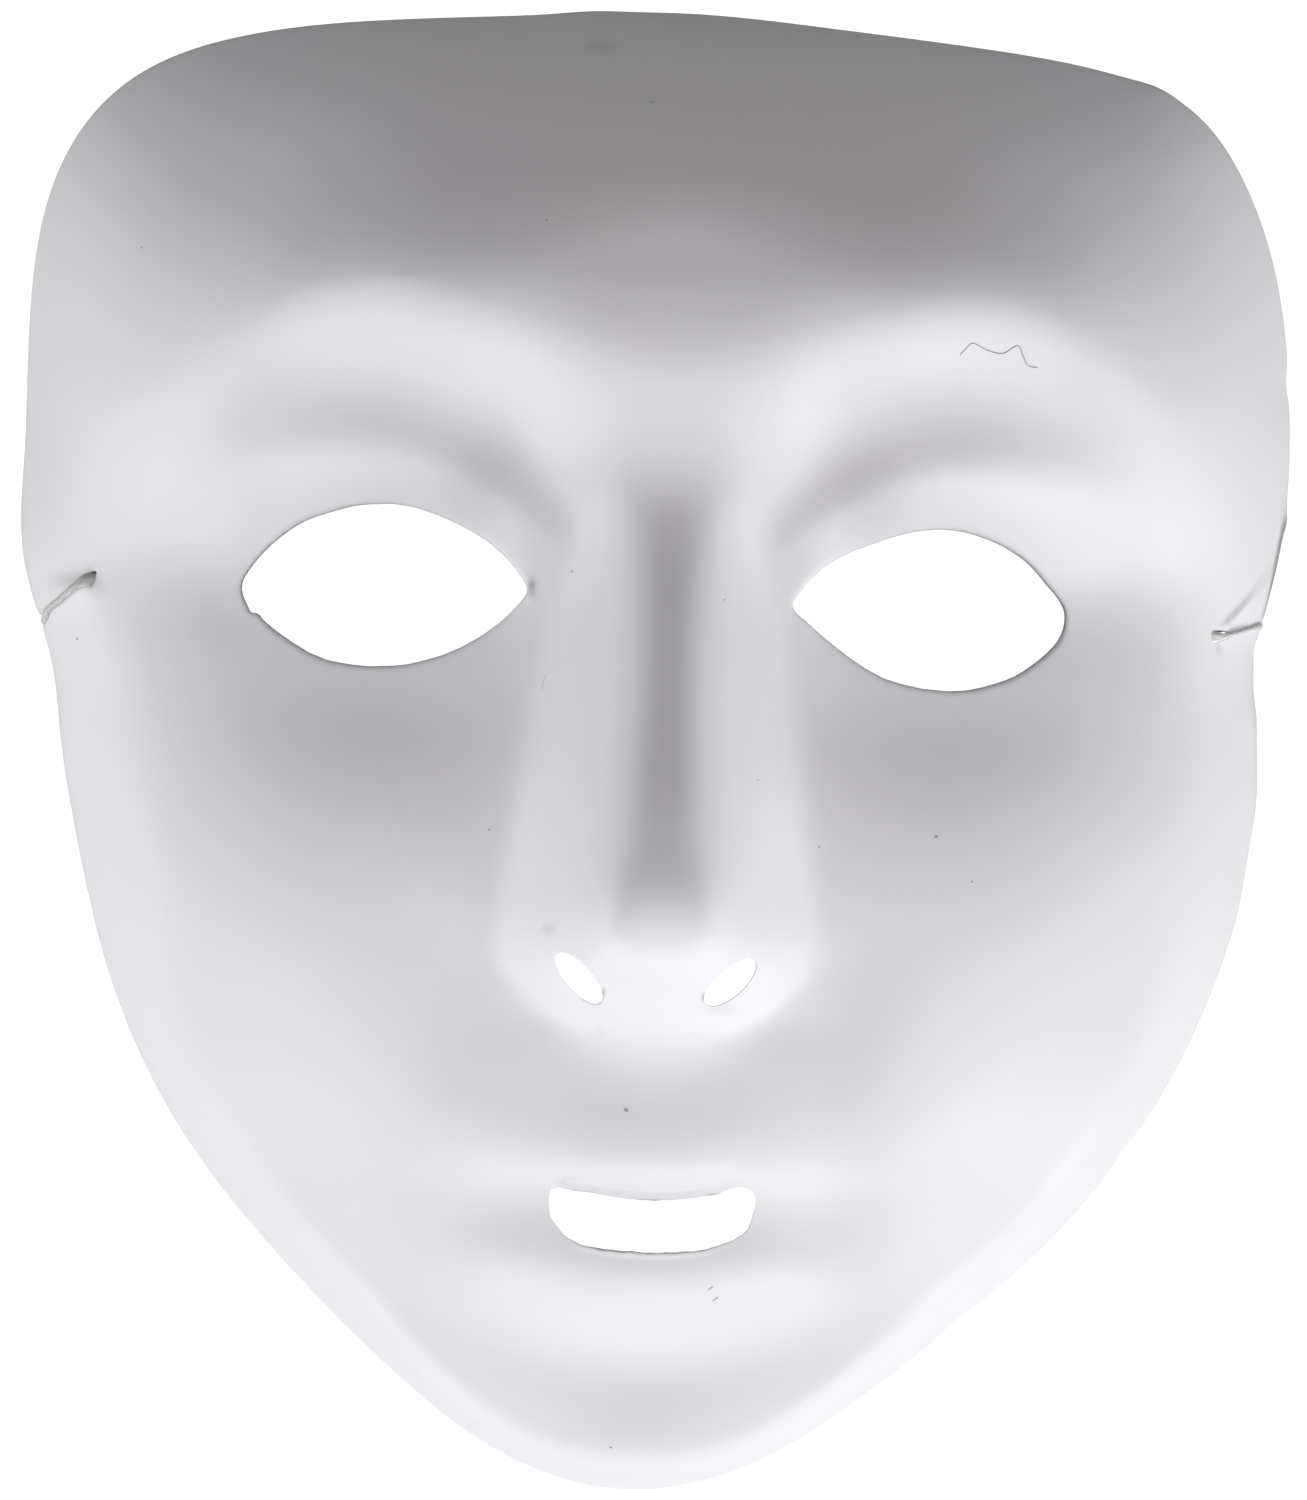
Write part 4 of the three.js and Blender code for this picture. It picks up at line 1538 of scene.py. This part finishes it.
def carried_frame(line: Array) -> tuple[Array, Array]:
    """Two directions across a line that don't twist round it.

    Args:
        line: The line's points, N by 3.

    Returns:
        The two directions at each point, N by 3 each.
    """
    least = 1e-3
    run = np.gradient(line, axis=0)
    run /= np.linalg.norm(run, axis=1, keepdims=True)
    side = np.zeros_like(line)
    first = np.cross(run[0], [0.0, 0.0, 1.0])
    if np.linalg.norm(first) < least:
        first = np.cross(run[0], [1.0, 0.0, 0.0])
    side[0] = first / np.linalg.norm(first)
    for i in range(1, len(line)):
        carried = side[i - 1] - run[i] * float(side[i - 1] @ run[i])
        side[i] = carried / np.linalg.norm(carried)
    return side, np.cross(run, side)


def tube_faces(count: int, sides: int) -> list[list[int]]:
    """Corner lists of a tube of rings, with a cap at each end.

    Args:
        count: Number of rings.
        sides: Points in each ring.

    Returns:
        The corner lists.
    """
    ring = np.arange(count - 1)[:, None] * sides
    here = np.arange(sides)
    after = (here + 1) % sides
    quads = np.stack([ring + here, ring + after, ring + sides + after, ring + sides + here], axis=-1)
    caps = [list(range(sides - 1, -1, -1)), list(range((count - 1) * sides, count * sides))]
    return quads.reshape(-1, 4).tolist() + caps


@dataclass
class Braid:
    """A round elastic under a braid of threads that pass over and under each other."""

    radius: float = 1.0
    relief: float = 0.13
    carriers: int = 4
    cell: float = 2.5
    sides: int = 36
    step: float = 0.16
    thread_round: float = 0.6
    thread_level: float = 0.62
    thread_wave: float = 0.38
    girth_window: int = 11
    # Painted shade on the side that faces the forehead: its strength, its share where the elastic faces
    # straight out, and what is added towards the forehead
    painted_shade: float = 0.0
    painted_shade_start: float = 0.0
    painted_shade_side: float = 0.35

    def weave(self, along: Array, round_: Array) -> Array:
        """Height of the braid from 0 in a gap to 1 on top of a thread.

        Args:
            along: Distance along the elastic, millimetres.
            round_: Turn round it, radians.

        Returns:
            The braid's height at each point.
        """
        u = self.carriers * round_ / (2 * math.pi) + along / self.cell
        v = self.carriers * round_ / (2 * math.pi) - along / self.cell
        threads = []
        for across, beside, sign in ((u, v, 1), (v, u, -1)):
            crown = np.sin(math.pi * (across % 1.0)) ** self.thread_round
            wave = sign * np.sin(math.pi * (beside + np.floor(across)))
            threads.append(crown * (self.thread_level + self.thread_wave * wave))
        return np.maximum(*threads)

    def tube(self, name: str, route: Array, girth: Sequence[Point] = ((0.0, 1.0),)) -> tuple[Piece, Array]:
        """Braids an elastic along a route.

        Args:
            name: The piece's name.
            route: Route points in face-frame millimetres.
            girth: Distances along the route, with how thick the elastic is there as a share of its radius.

        Returns:
            The piece and the line that it follows, in face-frame millimetres.
        """
        line = smooth_route(route, self.step)
        side, other = carried_frame(line)
        gone = distance_along(line)
        turn = np.linspace(0, 2 * math.pi, self.sides, endpoint=False)
        height = self.weave(gone[:, None], turn[None, :])
        window = self.girth_window
        thick = np.pad(np.interp(gone, *np.array(girth).T), window // 2, mode="edge")
        thick = np.convolve(thick, np.full(window, 1 / window), mode="valid")
        reach = thick[:, None] * (self.radius - self.relief + self.relief * height)
        ring = reach[..., None] * (
            np.cos(turn)[None, :, None] * side[:, None, :] + np.sin(turn)[None, :, None] * other[:, None, :]
        )
        points = (line[:, None, :] + ring).reshape(-1, 3)
        piece = make_object(name, to_row(points), tube_faces(len(line), self.sides))
        # Painted shade: the braid's gaps are stored low, and the side that faces the forehead is stored
        # darker as if in shade
        toward_forehead = np.clip(self.painted_shade_start + self.painted_shade_side * ring[..., 1] / reach, 0.0, 1.0)
        paint(piece, "painted_braid_shade", height * (1 - self.painted_shade * toward_forehead))
        bpy.ops.object.shade_smooth()
        return piece, line


@dataclass
class ElasticLoop:
    """The elastic at one side: out through its hole, over the front, round the rim and back to its knot."""

    side: Side
    form: FaceForm
    hole: Point
    leaves_at: Point
    rim_degrees: float
    girth: tuple[Point, ...]
    painted_shade_start: float
    sunk: float
    # Strength of the painted shade on the strand's side that faces the forehead
    painted_shade: float = 0.9
    knot_radius: float = 2.5
    knot_strand: float = 0.8
    knot_sides: int = 20
    knot_step: float = 0.3
    knot_flatness: float = 1.3
    knot_points: int = 48
    knot_ends: float = 0.15
    gap: float = 0.35
    over_front: tuple[Point, ...] = ((0.0, -0.6), (0.07, 0.25), (0.22, 0.5), (0.5, 0.45), (0.8, 0.25))
    under_rim: tuple[Point, ...] = ((-0.5, 1.6), (-0.35, 0.0), (-0.9, -1.0), (-2.4, -0.9), (-3.2, 1.0))
    back_inside: tuple[Point, ...] = ((0.76, -3.3), (0.5, -2.9))

    def knot_centre(self) -> Array:
        """Middle of the knot, just inside the hole."""
        return self.form.off_front(*self.hole, -(self.form.sheet + self.gap + self.knot_radius))

    def off_sheet(self, share: float, distance: float) -> Array:
        """A point part of the way from the hole to the rim, off the front.

        Args:
            share: Part of the way.
            distance: Distance off the front, less than nothing for inside the mask.

        Returns:
            The point, in face-frame millimetres.
        """
        edge = self.form.rim_point(self.rim_degrees)
        x, y = (start + share * (stop - start) for start, stop in zip(self.leaves_at, edge))
        return self.form.off_front(x, y, distance)

    def route(self) -> Array:
        """Route points of the loop, in face-frame millimetres."""
        edge = self.form.rim_point(self.rim_degrees)
        angle = math.radians(self.rim_degrees)
        round_rim = []
        for out, up in self.under_rim:
            across = out - self.sunk
            round_rim.append(edge + np.array([across * math.cos(angle), across * math.sin(angle), up]))
        leaving = [self.off_sheet(*p) for p in self.over_front]
        returning = [self.off_sheet(*p) for p in self.back_inside]
        return np.array([self.knot_centre(), *leaving, *round_rim, *returning, self.knot_centre()])

    def knot_route(self) -> Array:
        """Route of the small overhand knot, in face-frame millimetres."""
        t = np.linspace(self.knot_ends, 2 * math.pi - self.knot_ends, self.knot_points)
        size = (self.knot_radius - self.knot_strand) / 3.0
        rise = -self.knot_flatness * np.sin(3 * t)
        knot = np.stack([np.sin(t) + 2 * np.sin(2 * t), np.cos(t) - 2 * np.cos(2 * t), rise], axis=1)
        return self.knot_centre() + size * knot

    def build(self, material: Material) -> list[Piece]:
        """Builds the loop and its knot.

        Args:
            material: The elastic's material.

        Returns:
            The strand and the knot.
        """
        label = self.side.name.lower()
        braid = Braid(painted_shade=self.painted_shade, painted_shade_start=self.painted_shade_start)
        strand, _ = braid.tube(f"elastic_strand_{label}", self.route(), self.girth)
        dress(strand, material, [f"elastic_loop_{label}"])
        knot_braid = Braid(radius=self.knot_strand, sides=self.knot_sides, step=self.knot_step)
        knot, _ = knot_braid.tube(f"elastic_knot_{label}", self.knot_route())
        dress(knot, material)
        return [strand, knot]


@dataclass
class FreeElastic:
    """The free run of elastic between the two knots, which lies on the table under the face."""

    left: ElasticLoop
    right: ElasticLoop
    diameter: float = 2.0
    clearance: float = 0.15
    braid: Braid = field(default_factory=lambda: Braid(sides=20, step=0.32, relief=0.1))
    lying: tuple[Place, ...] = (
        (-75, 14.5, 3), (-74, 8, 0.4), (-71.5, -6, 0), (-66, -24, 0), (-57, -40, 0), (-44, -50, 0),
        (-31, -48, 0), (-24, -36, 0), (-21, -22, 0), (-15, -11, 0), (-5, -6, 0), (6, -6, 0), (16, -11, 0),
        (21.5, -22, 0), (24, -36, 0), (31, -48, 0), (43, -50, 0), (55, -40, 0), (63.5, -24, 0), (69, -8, 0),
        (72, 4, 0.4), (73, 10.5, 3),
    )

    def route(self) -> Array:
        """Route points from the left knot to the right one, in face-frame millimetres."""
        radius = self.diameter / 2
        points = [np.array([x, y, z + radius + self.clearance]) for x, y, z in self.lying]
        ends = []
        for loop, near in ((self.left, points[0]), (self.right, points[-1])):
            centre = loop.knot_centre()
            way = (near - centre) / np.linalg.norm(near - centre)
            ends.append(centre + (loop.knot_radius + loop.gap) * way)
        return np.array([ends[0], *points, ends[1]])

    def build(self, material: Material, with_pieces: list[Piece]) -> Piece:
        """Args:
            material: The elastic's material.
            with_pieces: The strands and knots at its two ends; not used.

        Returns:
            The finished piece.
        """
        cord, line = self.braid.tube("free_elastic", self.route())
        dress(cord, material, ["elastic_cord"])
        return cord


@dataclass
class HandlingMarks:
    """A stray fibre, a hair, two tiny scratches and a few dark specks that lie on the sheet."""

    form: FaceForm
    # Name, radius and points of each thread
    threads: tuple[tuple[str, float, tuple[Point, ...]], ...] = (
        (
            "stray_fibre", 0.055,
            (
                (37.9, 54.3), (38.7, 55.2), (39.4, 55.9), (41.6, 55.1), (43.7, 54.8), (45.7, 55.9),
                (46.5, 54.6), (47.3, 53.4), (48.7, 53.2),
            ),
        ),
        ("stray_hair", 0.022, ((-15.9, 9.6), (-16.3, 8.9), (-16.4, 8.2), (-16.4, 7.6))),
        ("upper_scratch", 0.045, ((9.0, -73.1), (9.6, -72.6))),
        ("lower_scratch", 0.045, ((9.7, -74.7), (10.4, -74.1))),
    )
    # Place and radius of each speck
    specks: tuple[Place, ...] = (
        (-3.2, -48.6, 0.26), (37.5, -10.4, 0.19), (-13.0, 23.6, 0.16), (-81.0, 12.6, 0.17),
        (-73.2, 66.2, 0.15), (12.7, -3.5, 0.13), (-22.9, -11.5, 0.13), (21.6, -12.3, 0.12),
        (-4.3, 87.7, 0.15), (-18.1, 70.2, 0.13), (-3.3, -96.1, 0.15), (7.4, 20.4, 0.12), (42.6, -16.3, 0.12),
    )

    thread_sunk: float = 0.8
    thread_sides: int = 6
    thread_step: float = 0.25
    speck_raised: float = 0.1
    speck_flatness: float = 0.45
    speck_squash: Span = (0.75, 1.3)
    speck_lumps: float = 0.18
    speck_seed: int = SEED + 100

    def thread(self, name: str, radius: float, line: Sequence[Point]) -> Piece:
        """Lays a fine thread on the sheet.

        Args:
            name: The piece's name.
            radius: The thread's radius, millimetres.
            line: Points on the face.

        Returns:
            The thread's mesh.
        """
        route = np.array([self.form.off_front(x, y, self.thread_sunk * radius) for x, y in line])
        plain = Braid(radius=radius, relief=0.0, sides=self.thread_sides, step=self.thread_step)
        piece, _ = plain.tube(name, route)
        return piece

    def speck(self, number: int, place: Place) -> Piece:
        """Lays one flat crumb of dust on the sheet.

        Args:
            number: Its number, which seeds its shape.
            place: Its x, y and radius, millimetres.

        Returns:
            The crumb's mesh.
        """
        x, y, radius = place
        bpy.ops.object.select_all(action="DESELECT")
        bpy.ops.mesh.primitive_ico_sphere_add(subdivisions=2, radius=radius)
        piece = bpy.context.active_object
        rng = np.random.default_rng(self.speck_seed + number)
        direction = Vector(self.form.normal(np.array([x]), np.array([y]))[0])
        turn = direction.to_track_quat("Z", "Y")
        seat = Vector(self.form.off_front(x, y, self.speck_raised * radius))
        squash = rng.uniform(*self.speck_squash)
        for vertex in piece.data.vertices:
            lump = 1.0 + rng.uniform(-self.speck_lumps, self.speck_lumps)
            flattened = (vertex.co.x * squash, vertex.co.y / squash, vertex.co.z * self.speck_flatness)
            vertex.co = seat + turn @ (Vector(flattened) * lump)
        write_points(piece, to_row(read_points(piece)))
        return piece

    def build(self, material: Material) -> list[Piece]:
        """Builds the threads and the specks.

        Args:
            material: The lint's material.

        Returns:
            The finished pieces.
        """
        threads = [self.thread(*thread) for thread in self.threads]
        crumbs = [self.speck(number, place) for number, place in enumerate(self.specks)]
        pieces = []
        for name, parts in (("lint_fibres", threads), ("dust_specks", crumbs)):
            make_active(parts[0])
            for part in parts:
                part.select_set(True)
            bpy.ops.object.join()
            joined = bpy.context.active_object
            joined.name = name
            joined.data.name = name
            bpy.ops.object.shade_smooth()
            dress(joined, material)
            pieces.append(joined)
        return pieces


@dataclass(frozen=True)
class Softbox:
    """One soft area light that faces the mask: place and size in metres, power in watts."""

    name: str
    place: Place
    size: Span
    power: float
    colour: Triple = (1.0, 1.0, 1.0)
    aims_at: Place = (0.0, 0.0, 0.03)

    def hang(self) -> None:
        """Adds the light to the scene."""
        bpy.ops.object.light_add(type="AREA", location=self.place)
        light = bpy.context.active_object
        light.name = self.name
        light.data.shape = "RECTANGLE"
        light.data.size, light.data.size_y = self.size
        light.data.energy = self.power
        light.data.color = self.colour
        aim = Vector(self.aims_at) - Vector(self.place)
        light.rotation_euler = aim.to_track_quat("-Z", "Y").to_euler()


@dataclass
class Studio:
    """Camera straight over the mask, a pale floor, and soft lights from the chin side and both sides."""

    distance: float = 900.0
    half_height: float = 106.1
    look_aside: float = 20.4
    roll_degrees: float = 2.0
    sensor_height: float = 24.0
    shift: float = -0.001
    clip_end: float = 20.0
    floor_size: float = 6.0
    floor_colour: Colour = (0.86, 0.86, 0.86, 1.0)
    floor_roughness: float = 0.9
    floor_glow: float = 1.1
    softboxes: tuple[Softbox, ...] = (
        Softbox("chin_left", (-0.85, -0.85, 0.40), (0.6, 0.4), 5.9),
        Softbox("chin_right", (0.85, -0.85, 0.40), (0.6, 0.4), 8.2),
        Softbox("chin_key", (0.0, -1.05, 0.62), (0.8, 0.45), 0.8),
        Softbox("chin_high", (0.0, -0.80, 1.05), (0.8, 0.5), 0.9),
        Softbox("side_left_low", (-1.2, -0.25, 0.13), (0.5, 0.25), 2.1),
        Softbox("side_right_low", (1.2, -0.25, 0.13), (0.5, 0.25), 1.9),
        Softbox("side_left_high", (-1.1, 0.0, 0.50), (0.6, 0.4), 2.4),
        Softbox("side_right_high", (1.1, 0.0, 0.50), (0.6, 0.4), 2.2),
        Softbox("overhead", (0.0, 0.1, 1.5), (1.0, 1.0), 6.1, (1.0, 0.96, 0.965)),
    )

    def camera(self) -> None:
        """Places the camera at the photograph's viewing angle."""
        target = Vector((*FRAME_SHIFT, 0.0)) * MM
        place = target + Vector((-self.look_aside, 0.0, self.distance)) * MM
        bpy.ops.object.camera_add(location=place)
        camera = bpy.context.active_object
        camera.name = "front_camera"
        back = (place - target).normalized()
        roll = math.radians(self.roll_degrees)
        up = Vector((-math.sin(roll), math.cos(roll), 0.0))
        right = up.cross(back).normalized()
        camera.rotation_euler = Matrix((right, back.cross(right), back)).transposed().to_euler()
        camera.data.sensor_fit = "VERTICAL"
        camera.data.sensor_height = self.sensor_height
        camera.data.lens = self.sensor_height / 2 * self.distance / self.half_height
        camera.data.shift_x = self.shift
        camera.data.clip_end = self.clip_end
        camera.data.dof.use_dof = False
        bpy.context.scene.camera = camera

    def floor(self) -> None:
        """Lays the pale floor, which looks as evenly lit as a white table."""
        bpy.ops.object.select_all(action="DESELECT")
        bpy.ops.mesh.primitive_plane_add(size=self.floor_size)
        floor = bpy.context.active_object
        floor.name = "pale_floor"
        material, tree, shader = new_material("pale_floor")
        tree.feed(shader, "Base Color", self.floor_colour)
        tree.feed(shader, "Roughness", self.floor_roughness)
        glow = tree.add("ShaderNodeEmission", {"Color": (1.0, 1.0, 1.0, 1.0), "Strength": self.floor_glow})
        seen = tree.add("ShaderNodeLightPath").outputs["Is Camera Ray"]
        shaders = {0: seen, 1: shader.outputs["BSDF"], 2: glow.outputs["Emission"]}
        both = tree.add("ShaderNodeMixShader", shaders)
        tree.feed(material.node_tree.nodes["Material Output"], "Surface", both.outputs["Shader"])
        floor.data.materials.append(material)

    def lights(self) -> None:
        """Hangs the softboxes at the chin side, at both sides and overhead, with no light from the air."""
        for softbox in self.softboxes:
            softbox.hang()
        world = bpy.data.worlds.new("studio_air")
        bpy.context.scene.world = world
        world.use_nodes = True
        world.node_tree.nodes["Background"].inputs["Strength"].default_value = 0.0


def main() -> None:
    """Builds the studio, the elastic and the mask in order, and reports each piece."""
    logging.basicConfig(level=logging.INFO, format="%(message)s")
    bpy.context.scene.view_settings.view_transform = "Standard"
    form = FaceForm()
    clouds, grain = cloud_group(), grain_group()
    studio = Studio()
    studio.camera()
    thread = BraidedThread().material(clouds, grain)
    left, right = (ElasticLoop(side=side, form=form, **LOOP_SIZES[side]) for side in Side)
    pieces = left.build(thread) + right.build(thread)
    pieces.append(FreeElastic(left, right).build(thread, pieces[:]))
    pieces.append(MaskShell(form).build(FormedPlastic().material(clouds, grain)))
    pieces += HandlingMarks(form).build(DustFibre().material(clouds))
    studio.floor()
    studio.lights()
    for piece in pieces:
        LOG.info("%s: %d faces", piece.name, len(piece.data.polygons))


if __name__ == "__main__":
    main()
